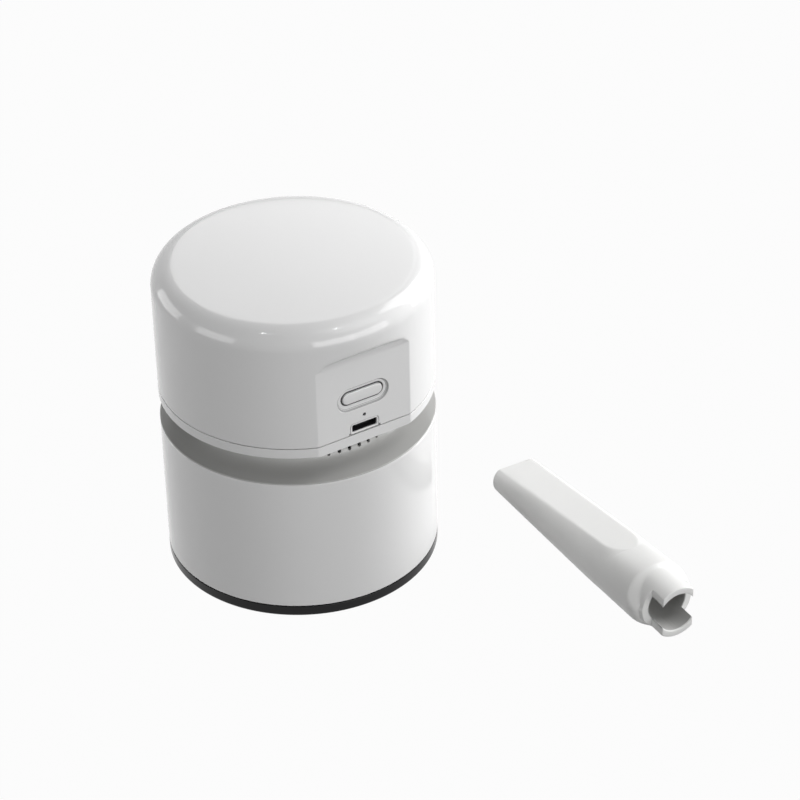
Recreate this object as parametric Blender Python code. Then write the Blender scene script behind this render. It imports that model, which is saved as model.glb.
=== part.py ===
"""Desktop mini vacuum cleaner with its separate crevice nozzle.

Metres, +Z up. The origin lies on the table under the middle of the whole set, and the
flat control panel faces -Y. Shapes are made about the housing's axis, and one empty
carries them all to their place. The nozzle lies on the table beside the housing.
"""
from math import acos, asin, cos, pi, radians, sin, sqrt

import bmesh
import bpy
from mathutils import Matrix, Vector

# Clearances
FIT_GAP = 0.0003
PORT_CLEARANCE = 0.0003

# Outer form of the housing
BODY_RADIUS = 0.0400
SHELL_WALL = 0.0022
FOOT_PROUD = 0.0005
RING_HEIGHT = 0.0033
CUP_HEIGHT = 0.0426
NECK_HEIGHT = 0.0089
PLATE_HEIGHT = 0.0034
CAP_HEIGHT = 0.0376
CAP_CROWN = 0.0008
CAP_EDGE_RADIUS = 0.0064

# Base plate, its feet, screws and brushes
BASE_DECK = 0.0020
BASE_EDGE_CHAMFER = 0.0006
BASE_RIB_HEIGHT = 0.0019
BASE_RIB_WALL = 0.0016
DISH_FOOT_ROOM = 0.0012
DISH_DEPTH = 0.0015
FOOT_RADIUS = 0.0040
FOOT_THICKNESS = 0.0013
FOOT_MARGIN = 0.0090
FOOT_COUNT = 3
BASE_SCREW_COUNT = 3
BRUSH_DISH_ROOM = 0.0010
BRUSH_WIDTH = 0.0024
BRUSH_BACKING = 0.0010
BRUSH_LENGTH_FREE = 0.0015
BRUSH_TUFTS = 13
TUFT_TAPER = 0.2

# Dust cup
CUP_FLOOR = 0.0022
CUP_FLOOR_RISE = 0.0022
CUP_CORNER_RADIUS = 0.0030
CUP_RIM_ROUNDING = 0.0004
CUP_BOSS_RADIUS = 0.0030

# Suction duct
DUCT_WALL = 0.0016
DUCT_RISE = 0.0078
DUCT_FLANGE_RADIUS = 0.0130

# Screws
SCREW_HEAD_RADIUS = 0.0024
SCREW_HEAD_HEIGHT = 0.0009
SCREW_SHANK_RADIUS = 0.0011
SCREW_HOLE_CLEARANCE = 0.0003
BOSS_SUNK = 0.0004
BASE_SCREW_LENGTH = 0.0050
CAP_SCREW_LENGTH = 0.0090
FAN_SCREW_LENGTH = 0.0070

# Neck collar
NECK_INSET = 0.0092
NECK_WALL = 0.0018
NECK_LIP = 0.0004
COVE_FLAT_REACH = 0.0073
COVE_FLAT_RISE = 0.0008
COVE_WALL_REACH = 0.0050
NECK_SPIGOT_WALL = 0.0016
NECK_BEAD = 0.0005
NECK_BEAD_HEIGHT = 0.0008
WEB_THICKNESS = 0.0018
INTAKE_RADIUS = 0.0110
CUP_SPIGOT_DEPTH = 0.0050
CUP_SPIGOT_WALL = 0.0021
SEAL_HEIGHT = 0.0012
SEAL_DEPTH = 0.0009
SEAL_DROP = 0.0020

# Exhaust slots
VENT_COUNT = 6
VENT_PITCH = radians(5.9)
VENT_WIDTH = 0.0011
VENT_RISE = 0.0029
VENT_TOP_MARGIN = 0.0012

# Head plate
PLATE_DECK = 0.0020
PLATE_EDGE_ROUNDING = 0.0004

# Control panel on the cap
PANEL_SETBACK = 0.0030
PANEL_WALL = 0.0020
PANEL_TOP = 0.02555
PANEL_SIDE_REACH = 0.0002
PANEL_CORNER_RADIUS = 0.0030
PANEL_LEDGE_SLOPE = 0.86
PANEL_LEDGE_WALL = 0.0026

# Power button and the recess round it
BUTTON_RISE = 0.0120
BUTTON_LENGTH = 0.0137
BUTTON_HEIGHT = 0.0041
BUTTON_GAP = 0.0003
BUTTON_SUNK = 0.0002
BUTTON_TRAVEL = 0.0004
BUTTON_FLANGE = 0.0009
BUTTON_FLANGE_THICKNESS = 0.0008
BUTTON_STEM_RADIUS = 0.0012
RECESS_BORDER = 0.0015
RECESS_DEPTH = 0.0006
RECESS_SLOPE = 0.0003

# Pinhole, charging port and its bezel
PINHOLE_RISE = 0.0054
PINHOLE_RADIUS = 0.00055
PORT_RISE = 0.0018
PORT_LENGTH = 0.0080
PORT_HEIGHT = 0.00195
PORT_CORNER = 0.0004
BEZEL_BORDER = 0.0006
BEZEL_CLIP = 0.0014
BEZEL_CLIP_DEPTH = 0.0007

# Cap bosses and their screws
CAP_BOSS_MARGIN = 0.0036
CAP_BOSS_RADIUS = 0.0028
CAP_BOSS_ANGLES = tuple(radians(a) for a in (35.0, 145.0, 215.0, 325.0))

# Circuit board and what it carries
BOARD_WIDTH = 0.0260
BOARD_HEIGHT = 0.0214
BOARD_THICKNESS = 0.0012
# Each chip: place across the board, height above its lower edge, half length
BOARD_CHIPS = ((-0.0050, 0.0100, 0.0030), (0.0060, 0.0080, 0.0022), (0.0020, 0.0165, 0.0018))
SWITCH_SIZE = 0.0052
SWITCH_DEPTH = 0.0011
PLUNGER_RADIUS = 0.0013
PLUNGER_PROUD = 0.0006
SOCKET_LENGTH = 0.0075
SOCKET_HEIGHT = 0.0026
SOCKET_WALL = 0.00035
SOCKET_TONGUE_LENGTH = 0.0045
SOCKET_TONGUE_HEIGHT = 0.00065
LED_RADIUS = 0.0009
BOARD_RIB_WIDTH = 0.0030
BOARD_RIB_INSET = 0.0090
BOARD_RIB_HEIGHT = 0.0047
BOARD_RIB_THICKNESS = 0.0010

# Fan
FAN_NECK_ROOM = 0.0050
FAN_CLEARANCE = 0.0015
FAN_WALL = 0.0015
FAN_TOP = 0.0016
FAN_CHAMBER = 0.0077
FAN_BOSS_OUTSET = 0.0003
FAN_BOSS_RADIUS = 0.0022
FAN_BOSS_COUNT = 3
FAN_WINDOW_ROOM = 0.00195
FAN_WINDOW_MARGIN = 0.0012
IMPELLER_DISC = 0.0012
IMPELLER_LIFT = 0.0013
BLADE_COUNT = 9
BLADE_THICKNESS = 0.0009
BLADE_EYE_RADIUS = 0.0080
BLADE_SWEEP = radians(48.0)
HUB_RADIUS = 0.0035
HUB_SHORTER = 0.0006

# Motor
MOTOR_RADIUS = 0.0121
MOTOR_HEAD_ROOM = 0.0107
MOTOR_WALL = 0.0010
MOTOR_BOSS_RADIUS = 0.0037
MOTOR_BOSS_LENGTH = 0.0020
GASKET_THICKNESS = 0.0008
SOCKET_RING_WALL = 0.0015
SOCKET_RING_HEIGHT = 0.0045
SHAFT_RADIUS = 0.0010
SHAFT_END_MARGIN = 0.0012
ENDCAP_THICKNESS = 0.0030
ENDCAP_SPIGOT = 0.0017
TERMINAL_OFFSET = 0.0070
TERMINAL_SIZE = 0.0012
TERMINAL_HEIGHT = 0.0020
MAGNET_THICKNESS = 0.0022
MAGNET_SPAN = radians(140.0)
MAGNET_SHORTER = 0.0080
ARMATURE_GAP = 0.0006
ARMATURE_SHORTER = 0.0040
COMMUTATOR_RADIUS = 0.0035

# Battery and its cradle
BATTERY_SHELL_ROOM = 0.00096
BATTERY_END_ROOM = 0.0037
BATTERY_NUB_RADIUS = 0.0025
BATTERY_NUB_LENGTH = 0.0008
BATTERY_EDGE = 0.0006
CRADLE_SHORTER = 0.0070
CRADLE_WALL = 0.0012
CRADLE_RIM_DROP = 0.0016
CRADLE_LEG = 0.0030
CRADLE_LEG_INSET = 0.0060
CRADLE_LIFT = 0.0010
CRADLE_MOTOR_GAP = 0.0005

# Filter
FILTER_CUP_ROOM = 0.0096
FILTER_SPIGOT_WALL = 0.0016
FILTER_SPIGOT_DEPTH = 0.0046
FILTER_WALL = 0.0016
FILTER_CAGE_HEIGHT = 0.0173
FILTER_CAGE_FLOOR = 0.0015
FILTER_RIBS = 6
FILTER_RIB_WIDTH = 0.0030
FILTER_PLEATS = 26
FILTER_PLEAT_DEPTH = 0.0020
FILTER_CLOTH_DEPTH = 0.0082
FILTER_FLOOR_LIP = 0.0010

# Wires
WIRE_RADIUS = 0.0006
WIRE_BEND = 0.0012
WIRE_PAD_INSET = 0.0030
WIRE_POINTS = 15
WIRE_LANE_ANGLES = (radians(15.0), radians(-20.0), radians(-45.0))

# Crevice nozzle, lying on the table
NOZZLE_PLACE = (0.0667, -0.0141)
NOZZLE_AZIMUTH = radians(-93.07)
NOZZLE_TAPER_LENGTH = 0.0640
NOZZLE_TAIL_RUN = 0.0158
NOZZLE_MOUTH_HALF_WIDTH = 0.00785
NOZZLE_MOUTH_HALF_HEIGHT = 0.00405
NOZZLE_FACET_HALF_WIDTH = 0.00515
NOZZLE_FACET_END = 0.0080
NOZZLE_FACET_TIP = 0.0004
NOZZLE_FACET_HALF_HEIGHT = 0.0083
NOZZLE_TAIL_HALF_WIDTH = 0.0105
NOZZLE_TAIL_HALF_HEIGHT = 0.00935
NOZZLE_MOUTH_WALL = 0.0014
NOZZLE_TUBE_WALL = 0.0020
NOZZLE_TUBE_RADIUS = 0.00815
NOZZLE_TUBE_REACH = 0.0082
NOZZLE_SHOULDER_ROUNDING = 0.0022
NOZZLE_SHOULDER_SHARE = 0.85
NOZZLE_TONGUE = 0.0056
NOZZLE_TONGUE_WIDTH = 0.0100

# How finely round shapes are cut, and the angle from which an edge is drawn sharp
SHELL_SEGMENTS = 40
INNER_SEGMENTS = 28
SMALL_SEGMENTS = 10
ARC_STEPS = 5
ROUNDING_STEPS = 2
CROWN_STEPS = 4
NOZZLE_SIDE_STEPS = 8
SHARP_ANGLE = radians(35.0)

# Heights that follow from the sizes above
RING_BOTTOM = FOOT_PROUD
RING_TOP = RING_BOTTOM + RING_HEIGHT
RIM = RING_TOP + CUP_HEIGHT
PLATE_BOTTOM = RIM + NECK_HEIGHT
SEAM = PLATE_BOTTOM + PLATE_HEIGHT
CAP_TOP = SEAM + CAP_HEIGHT

CUP_INNER_RADIUS = BODY_RADIUS - SHELL_WALL
CUP_FLOOR_BOTTOM = RING_TOP + CUP_FLOOR_RISE
CUP_FLOOR_TOP = CUP_FLOOR_BOTTOM + CUP_FLOOR
DECK_TOP = RING_BOTTOM + BASE_DECK
FOOT_CIRCLE = BODY_RADIUS - FOOT_MARGIN
BASE_SCREW_CIRCLE = FOOT_CIRCLE
DISH_RADIUS = FOOT_CIRCLE - FOOT_RADIUS - DISH_FOOT_ROOM
DISH_CEILING = RING_BOTTOM + DISH_DEPTH
DISH_TOP = DISH_CEILING + BASE_DECK
DUCT_BORE = NOZZLE_TUBE_RADIUS + PORT_CLEARANCE
DUCT_RADIUS = DUCT_BORE + DUCT_WALL
DUCT_HOLE = DUCT_RADIUS + FIT_GAP
DUCT_TOP = CUP_FLOOR_TOP + DUCT_RISE
BRUSH_OFFSET = (DUCT_HOLE + DISH_RADIUS) / 2
BRUSH_REACH = BRUSH_OFFSET + BRUSH_WIDTH / 2
BRUSH_LENGTH = 2 * sqrt((DISH_RADIUS - BRUSH_DISH_ROOM) ** 2 - BRUSH_REACH ** 2)

CUP_SPIGOT_RADIUS = CUP_INNER_RADIUS - FIT_GAP
WEB_TOP = RIM
WEB_BOTTOM = RIM - WEB_THICKNESS
NECK_RADIUS = BODY_RADIUS - NECK_INSET
NECK_INNER_RADIUS = NECK_RADIUS - NECK_WALL
NECK_SPIGOT_RADIUS = NECK_INNER_RADIUS
PLATE_DECK_TOP = PLATE_BOTTOM + PLATE_DECK
PLATE_RIM_TOP = SEAM - FIT_GAP

FAN_BOTTOM = WEB_TOP + FIT_GAP
FAN_CEILING = FAN_BOTTOM + FAN_CHAMBER
FAN_HOUSING_TOP = FAN_CEILING + FAN_TOP
FAN_OUTER_RADIUS = NECK_INNER_RADIUS - FAN_NECK_ROOM
FAN_INNER_RADIUS = FAN_OUTER_RADIUS - FAN_WALL
FAN_RADIUS = FAN_INNER_RADIUS - FAN_CLEARANCE
FAN_BOSS_CIRCLE = FAN_OUTER_RADIUS + FAN_BOSS_OUTSET
FAN_BOSS_SIDE = FAN_BOSS_CIRCLE * abs(cos(2 * pi / FAN_BOSS_COUNT))
FAN_WINDOW_WIDTH = 2 * (FAN_BOSS_SIDE - FAN_BOSS_RADIUS - FAN_WINDOW_ROOM)
IMPELLER_TOP = FAN_CEILING - FIT_GAP
IMPELLER_DISC_BOTTOM = IMPELLER_TOP - IMPELLER_DISC
IMPELLER_BOTTOM = FAN_BOTTOM + IMPELLER_LIFT

GASKET_BOTTOM = FAN_HOUSING_TOP + FIT_GAP
MOTOR_BOTTOM = GASKET_BOTTOM + GASKET_THICKNESS + FIT_GAP
MOTOR_TOP = CAP_TOP - SHELL_WALL - MOTOR_HEAD_ROOM
MAGNET_LENGTH = MOTOR_TOP - MOTOR_BOTTOM - MAGNET_SHORTER
ARMATURE_LENGTH = MAGNET_LENGTH - ARMATURE_SHORTER
ARMATURE_RADIUS = MOTOR_RADIUS - MOTOR_WALL - FIT_GAP - MAGNET_THICKNESS - ARMATURE_GAP
ENDCAP_BOTTOM = MOTOR_TOP + FIT_GAP
ENDCAP_TOP = ENDCAP_BOTTOM + ENDCAP_THICKNESS
SHAFT_BORE = SHAFT_RADIUS + FIT_GAP
SHAFT_TOP = ENDCAP_TOP - SHAFT_END_MARGIN
SOCKET_RING_INNER = MOTOR_RADIUS + FIT_GAP
SOCKET_RING_OUTER = SOCKET_RING_INNER + SOCKET_RING_WALL

PANEL_DISTANCE = BODY_RADIUS - PANEL_SETBACK
PANEL_CHORD = sqrt(BODY_RADIUS ** 2 - PANEL_DISTANCE ** 2)
PANEL_HALF_WIDTH = PANEL_CHORD + PANEL_SIDE_REACH
PANEL_INNER = PANEL_DISTANCE - PANEL_WALL
PANEL_LEDGE = SEAM + PANEL_TOP
BUTTON_Z = SEAM + BUTTON_RISE
PINHOLE_Z = SEAM + PINHOLE_RISE
PORT_Z = SEAM + PORT_RISE
BUTTON_FLANGE_FRONT = PANEL_INNER - FIT_GAP
BUTTON_FLANGE_BACK = BUTTON_FLANGE_FRONT - BUTTON_FLANGE_THICKNESS
STEM_END = BUTTON_FLANGE_BACK - FIT_GAP
PLUNGER_FRONT = STEM_END - FIT_GAP
SWITCH_FRONT = PLUNGER_FRONT - PLUNGER_PROUD
SWITCH_BACK = SWITCH_FRONT - SWITCH_DEPTH
BOARD_FRONT = SWITCH_BACK - FIT_GAP
BOARD_BACK = BOARD_FRONT - BOARD_THICKNESS
BOARD_BOTTOM = PLATE_DECK_TOP + FIT_GAP
RECESS_LENGTH = BUTTON_LENGTH + 2 * (BUTTON_GAP + RECESS_BORDER)
RECESS_HEIGHT = BUTTON_HEIGHT + 2 * (BUTTON_GAP + RECESS_BORDER)

CAP_BOSS_CIRCLE = CUP_INNER_RADIUS - CAP_BOSS_MARGIN
CAP_BOSS_SIDE = CAP_BOSS_CIRCLE * cos(CAP_BOSS_ANGLES[0])
BATTERY_LENGTH = 2 * (CAP_BOSS_SIDE - CAP_BOSS_RADIUS - BATTERY_END_ROOM)
BATTERY_NEAR = SOCKET_RING_OUTER + CRADLE_MOTOR_GAP + CRADLE_WALL + FIT_GAP
BATTERY_FAR = sqrt((CUP_INNER_RADIUS - BATTERY_SHELL_ROOM) ** 2 - (BATTERY_LENGTH / 2) ** 2)
BATTERY_RADIUS = (BATTERY_FAR - BATTERY_NEAR) / 2
CRADLE_LENGTH = BATTERY_LENGTH - CRADLE_SHORTER
CRADLE_LEG_OFFSET = CRADLE_LENGTH / 2 - CRADLE_LEG_INSET
CRADLE_DEPTH = BATTERY_RADIUS - CRADLE_RIM_DROP
CRADLE_Y = BATTERY_NEAR + BATTERY_RADIUS
CRADLE_BOTTOM = PLATE_DECK_TOP + NECK_BEAD_HEIGHT + CRADLE_LIFT
BATTERY_Z = CRADLE_BOTTOM + CRADLE_WALL + FIT_GAP + BATTERY_RADIUS

FILTER_SPIGOT_RADIUS = CUP_INNER_RADIUS - FILTER_CUP_ROOM
FILTER_CLOTH_BORE = FILTER_SPIGOT_RADIUS - FILTER_CLOTH_DEPTH
FILTER_FLOOR_HOLE = FILTER_CLOTH_BORE - FILTER_FLOOR_LIP
FILTER_RING_INNER = FILTER_SPIGOT_RADIUS + FIT_GAP
FILTER_RING_OUTER = FILTER_RING_INNER + FILTER_WALL
FILTER_TOP = WEB_BOTTOM - FIT_GAP
FILTER_RING_BOTTOM = WEB_BOTTOM - FILTER_SPIGOT_DEPTH
FILTER_BOTTOM = FILTER_TOP - FILTER_CAGE_HEIGHT

NOZZLE_SHOULDER = NOZZLE_TAPER_LENGTH + NOZZLE_TAIL_RUN
NOZZLE_LENGTH = NOZZLE_SHOULDER + NOZZLE_TUBE_REACH


def clear_scene():
    for obj in list(bpy.data.objects):
        bpy.data.objects.remove(obj, do_unlink=True)


def finish(name, colour, roughness, metallic=0.0):
    """A Principled material with one colour, roughness and metallic value."""
    made = bpy.data.materials.new(name)
    made.use_nodes = True
    shader = made.node_tree.nodes["Principled BSDF"]
    shader.inputs["Base Color"].default_value = (*colour, 1.0)
    shader.inputs["Roughness"].default_value = roughness
    shader.inputs["Metallic"].default_value = metallic
    return made


def link_mesh(name, shape):
    mesh = bpy.data.meshes.new(name)
    bmesh.ops.recalc_face_normals(shape, faces=shape.faces)
    shape.to_mesh(mesh)
    shape.free()
    obj = bpy.data.objects.new(name, mesh)
    bpy.context.scene.collection.objects.link(obj)
    return obj


def piece(name, shape, material, parent):
    """Turn a bmesh made about the housing's axis into an object under its empty."""
    obj = link_mesh(name, shape)
    obj.data.materials.append(material)
    obj.data.shade_smooth()
    obj.data.set_sharp_from_angle(angle=SHARP_ANGLE)
    obj.data.transform(Matrix.Translation(-parent.location))
    obj.parent = parent
    return obj


def joint_empty(name, location=(0.0, 0.0, 0.0), parent=None):
    empty = bpy.data.objects.new(name, None)
    empty.location = location
    empty.parent = parent
    bpy.context.scene.collection.objects.link(empty)
    return empty


def housing_place():
    """Where the housing's axis goes, so that the set is centred on the origin."""
    side, along = abs(sin(NOZZLE_AZIMUTH)), abs(cos(NOZZLE_AZIMUTH))
    right = NOZZLE_PLACE[0] + NOZZLE_MOUTH_HALF_WIDTH * side
    front = NOZZLE_PLACE[1] - NOZZLE_LENGTH * side - NOZZLE_TONGUE_WIDTH / 2 * along
    return (BODY_RADIUS - right) / 2, -(BODY_RADIUS + front) / 2, 0.0


def tool(name, shapes):
    """One hidden object that holds every shape of one Boolean step."""
    joined = bmesh.new()
    for shape in shapes:
        bmesh.ops.recalc_face_normals(shape, faces=shape.faces)
        scratch = bpy.data.meshes.new(name)
        shape.to_mesh(scratch)
        shape.free()
        joined.from_mesh(scratch)
        bpy.data.meshes.remove(scratch)
    mesh = bpy.data.meshes.new(name)
    joined.to_mesh(mesh)
    joined.free()
    obj = bpy.data.objects.new(name, mesh)
    bpy.context.scene.collection.objects.link(obj)
    obj.hide_render = True
    obj.display_type = "WIRE"
    return obj


def boolean(obj, operation, shapes):
    step = len(obj.modifiers)
    cutter = tool(f"{obj.name}_tool_{step}", shapes)
    cutter.parent = obj.parent
    cutter.data.transform(Matrix.Translation(-obj.parent.location))
    modifier = obj.modifiers.new(f"{operation.lower()}_{step}", "BOOLEAN")
    modifier.operation = operation
    modifier.solver = "EXACT"
    modifier.object = cutter
    return cutter


def cut(obj, *shapes):
    boolean(obj, "DIFFERENCE", shapes)


def join(obj, *shapes):
    boolean(obj, "UNION", shapes)


def turned(profile, segments, centre=(0.0, 0.0)):
    """A profile of (radius, height) points turned about a vertical axis."""
    shape = bmesh.new()
    verts = [shape.verts.new((radius, 0.0, height)) for radius, height in profile]
    pairs = list(zip(verts, verts[1:]))
    if profile[0][0] > 0.0 or profile[-1][0] > 0.0:
        pairs.append((verts[-1], verts[0]))
    edges = [shape.edges.new(pair) for pair in pairs]
    bmesh.ops.spin(shape, geom=verts + edges, cent=(0, 0, 0), axis=(0, 0, 1),
                   angle=2 * pi, steps=segments, use_merge=True)
    bmesh.ops.remove_doubles(shape, verts=shape.verts, dist=1e-7)
    bmesh.ops.translate(shape, verts=shape.verts, vec=(centre[0], centre[1], 0.0))
    return shape


def post(radius, low, high, centre, segments=SMALL_SEGMENTS):
    return turned([(0.0, low), (radius, low), (radius, high), (0.0, high)], segments, centre)


def box(low, high):
    shape = bmesh.new()
    bmesh.ops.create_cube(shape, size=1.0)
    size = [b - a for a, b in zip(low, high)]
    middle = [(a + b) / 2 for a, b in zip(low, high)]
    bmesh.ops.scale(shape, verts=shape.verts, vec=size)
    bmesh.ops.translate(shape, verts=shape.verts, vec=middle)
    return shape


def loft(rings, closed=False):
    """Join rings of equally many points, with end faces or back to the first ring."""
    shape = bmesh.new()
    rows = [[shape.verts.new(point) for point in ring] for ring in rings]
    spans = list(zip(rows, rows[1:]))
    if closed:
        spans.append((rows[-1], rows[0]))
    for lower, upper in spans:
        for i in range(len(lower)):
            j = (i + 1) % len(lower)
            shape.faces.new((lower[i], lower[j], upper[j], upper[i]))
    if not closed:
        shape.faces.new(rows[0])
        shape.faces.new(rows[-1])
    return shape


def arc(centre, radius, start, end, steps=ARC_STEPS):
    """Points on a circle from one angle to the other, both in radians."""
    angles = [start + (end - start) * i / steps for i in range(steps + 1)]
    return [(centre[0] + radius * cos(a), centre[1] + radius * sin(a)) for a in angles]


def bezier(a, b, c, d, steps):
    points = []
    for i in range(steps + 1):
        t = i / steps
        s = 1.0 - t
        weights = (s ** 3, 3 * s * s * t, 3 * s * t * t, t ** 3)
        points.append(tuple(sum(w * p[k] for w, p in zip(weights, (a, b, c, d)))
                            for k in range(2)))
    return points


def pill(length, height, steps=ARC_STEPS):
    """Outline of a bar with half-round ends, about the origin."""
    reach = (length - height) / 2
    return (arc((reach, 0.0), height / 2, -pi / 2, pi / 2, steps)
            + arc((-reach, 0.0), height / 2, pi / 2, 3 * pi / 2, steps))


def rounded_rectangle(length, height, corner, steps=ROUNDING_STEPS):
    x, y = length / 2 - corner, height / 2 - corner
    outline = []
    for quarter, (cx, cy) in enumerate(((x, y), (-x, y), (-x, -y), (x, -y))):
        outline += arc((cx, cy), corner, quarter * pi / 2, (quarter + 1) * pi / 2, steps)
    return outline


def round_outline(radius):
    return [on_circle(radius, a) for a in around(SMALL_SEGMENTS)]


def facing_panel(outline, distance, z):
    """An outline as it lies at a distance in front of the axis, centred on height z."""
    return [(x, -distance, z + y) for x, y in outline]


def panel_solid(outline, z, near, far, outer=None):
    """A solid from one distance to another, with another outline at its outer end."""
    return loft([facing_panel(outline, near, z), facing_panel(outer or outline, far, z)])


def on_circle(radius, angle):
    return radius * cos(angle), radius * sin(angle)


def around(count, start=0.0):
    return [start + 2 * pi * i / count for i in range(count)]


def screw(head_bottom, length, centre):
    """A pan-head screw that points up, with a dimple for the driver."""
    head_top = head_bottom + SCREW_HEAD_HEIGHT
    profile = [(0.0, head_bottom + SCREW_HEAD_HEIGHT / 2),
               (SCREW_HEAD_RADIUS / 3, head_bottom),
               (SCREW_HEAD_RADIUS - SCREW_HEAD_HEIGHT / 2, head_bottom),
               (SCREW_HEAD_RADIUS, head_bottom + SCREW_HEAD_HEIGHT / 3),
               (SCREW_HEAD_RADIUS, head_top),
               (SCREW_SHANK_RADIUS, head_top),
               (SCREW_SHANK_RADIUS, head_bottom + length - SCREW_SHANK_RADIUS),
               (SCREW_SHANK_RADIUS / 2, head_bottom + length),
               (0.0, head_bottom + length)]
    return turned(profile, SMALL_SEGMENTS, centre)


def screw_seat(face, length, centre):
    """Counterbore, clearance hole and blind hole of a screw driven up from a face."""
    seat = face + SCREW_HEAD_HEIGHT + FIT_GAP
    hole = SCREW_SHANK_RADIUS + SCREW_HOLE_CLEARANCE
    top = face + length + FIT_GAP
    profile = [(0.0, face - FIT_GAP), (SCREW_HEAD_RADIUS + FIT_GAP, face - FIT_GAP),
               (SCREW_HEAD_RADIUS + FIT_GAP, seat), (hole, seat), (hole, top), (0.0, top)]
    return turned(profile, SMALL_SEGMENTS, centre)


def screw_hole(low, high, centre):
    return post(SCREW_SHANK_RADIUS + SCREW_HOLE_CLEARANCE, low, high, centre)


def base_plate(material, parent):
    outer = CUP_INNER_RADIUS - FIT_GAP
    rib_top = RING_TOP + BASE_RIB_HEIGHT
    profile = [(DISH_RADIUS, RING_BOTTOM),
               (BODY_RADIUS - BASE_EDGE_CHAMFER, RING_BOTTOM),
               (BODY_RADIUS, RING_BOTTOM + BASE_EDGE_CHAMFER),
               (BODY_RADIUS, RING_TOP), (outer, RING_TOP), (outer, rib_top),
               (outer - BASE_RIB_WALL, rib_top), (outer - BASE_RIB_WALL, DECK_TOP),
               (DISH_RADIUS + BASE_RIB_WALL, DECK_TOP),
               (DISH_RADIUS + BASE_RIB_WALL, DISH_TOP),
               (DUCT_HOLE, DISH_TOP), (DUCT_HOLE, DISH_CEILING),
               (DISH_RADIUS, DISH_CEILING)]
    plate = piece("base_plate", turned(profile, SHELL_SEGMENTS), material, parent)
    cutters = []
    for angle in around(FOOT_COUNT, pi / 6):
        centre = on_circle(FOOT_CIRCLE, angle)
        top = FOOT_THICKNESS + FIT_GAP
        cutters.append(post(FOOT_RADIUS + FIT_GAP, 0.0, top, centre, INNER_SEGMENTS // 2))
    for angle in around(BASE_SCREW_COUNT, pi / 2):
        centre = on_circle(BASE_SCREW_CIRCLE, angle)
        cutters.append(screw_seat(RING_BOTTOM, BASE_SCREW_LENGTH, centre))
    for side in (-1, 1):
        cutters.append(brush_box(side, FIT_GAP, DISH_CEILING - FIT_GAP))
    cut(plate, *cutters)
    return plate


def brush_top():
    return DISH_CEILING + BRUSH_BACKING - FIT_GAP


def brush_box(side, margin, low):
    x = BRUSH_LENGTH / 2 + margin
    y = BRUSH_WIDTH / 2 + margin
    middle = side * BRUSH_OFFSET
    return box((-x, middle - y, low), (x, middle + y, brush_top() + margin))


def brush(name, side, material, parent):
    """A strip of backing with a comb of tufts hanging from it."""
    pitch = BRUSH_LENGTH / BRUSH_TUFTS
    backing = DISH_CEILING - FIT_GAP
    tip = DISH_CEILING - BRUSH_LENGTH_FREE
    outline = [(BRUSH_LENGTH / 2, brush_top()), (-BRUSH_LENGTH / 2, brush_top())]
    slope = pitch * TUFT_TAPER
    for i in range(BRUSH_TUFTS):
        left = -BRUSH_LENGTH / 2 + i * pitch
        outline += [(left, backing), (left + slope, tip), (left + 3 * slope, tip),
                    (left + 4 * slope, backing)]
    outline.append((BRUSH_LENGTH / 2, backing))
    near = side * BRUSH_OFFSET - BRUSH_WIDTH / 2
    far = near + BRUSH_WIDTH
    shape = loft([[(x, near, z) for x, z in outline], [(x, far, z) for x, z in outline]])
    return piece(name, shape, material, parent)


def foot(name, angle, material, parent):
    edge = FOOT_THICKNESS / 4
    profile = [(0.0, 0.0), (FOOT_RADIUS - edge, 0.0), (FOOT_RADIUS, edge),
               (FOOT_RADIUS, FOOT_THICKNESS), (0.0, FOOT_THICKNESS)]
    shape = turned(profile, INNER_SEGMENTS // 2, on_circle(FOOT_CIRCLE, angle))
    return piece(name, shape, material, parent)


def dust_cup(material, parent):
    bottom = RING_TOP + FIT_GAP
    rim = RIM - FIT_GAP
    corner = (CUP_INNER_RADIUS - CUP_CORNER_RADIUS, CUP_FLOOR_TOP + CUP_CORNER_RADIUS)
    profile = [(BODY_RADIUS, bottom)]
    profile += arc((BODY_RADIUS - CUP_RIM_ROUNDING, rim - CUP_RIM_ROUNDING),
                   CUP_RIM_ROUNDING, 0.0, pi / 2, ROUNDING_STEPS)
    profile.append((CUP_INNER_RADIUS, rim))
    profile += arc(corner, CUP_CORNER_RADIUS, 0.0, -pi / 2)
    profile += [(DUCT_HOLE, CUP_FLOOR_TOP), (DUCT_HOLE, CUP_FLOOR_BOTTOM),
                (CUP_INNER_RADIUS, CUP_FLOOR_BOTTOM), (CUP_INNER_RADIUS, bottom)]
    cup = piece("dust_cup", turned(profile, SHELL_SEGMENTS), material, parent)
    centres = [on_circle(BASE_SCREW_CIRCLE, a) for a in around(BASE_SCREW_COUNT, pi / 2)]
    low = DECK_TOP + FIT_GAP
    join(cup, *[post(CUP_BOSS_RADIUS, low, CUP_FLOOR_TOP - CUP_FLOOR / 2, c)
                for c in centres])
    cut(cup, *[screw_hole(low - FIT_GAP, RING_BOTTOM + BASE_SCREW_LENGTH + 2 * FIT_GAP, c)
               for c in centres])
    return cup


def suction_duct(material, parent):
    low = DISH_TOP + FIT_GAP
    high = CUP_FLOOR_BOTTOM - FIT_GAP
    lip = DUCT_WALL / 2
    profile = [(DUCT_BORE, DISH_CEILING), (DUCT_RADIUS, DISH_CEILING), (DUCT_RADIUS, low),
               (DUCT_FLANGE_RADIUS, low), (DUCT_FLANGE_RADIUS, high), (DUCT_RADIUS, high),
               (DUCT_RADIUS, DUCT_TOP - lip)]
    profile += arc((DUCT_BORE + lip, DUCT_TOP - lip), lip, pi / 4, pi, ROUNDING_STEPS)
    return piece("suction_duct", turned(profile, INNER_SEGMENTS), material, parent)


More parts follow.
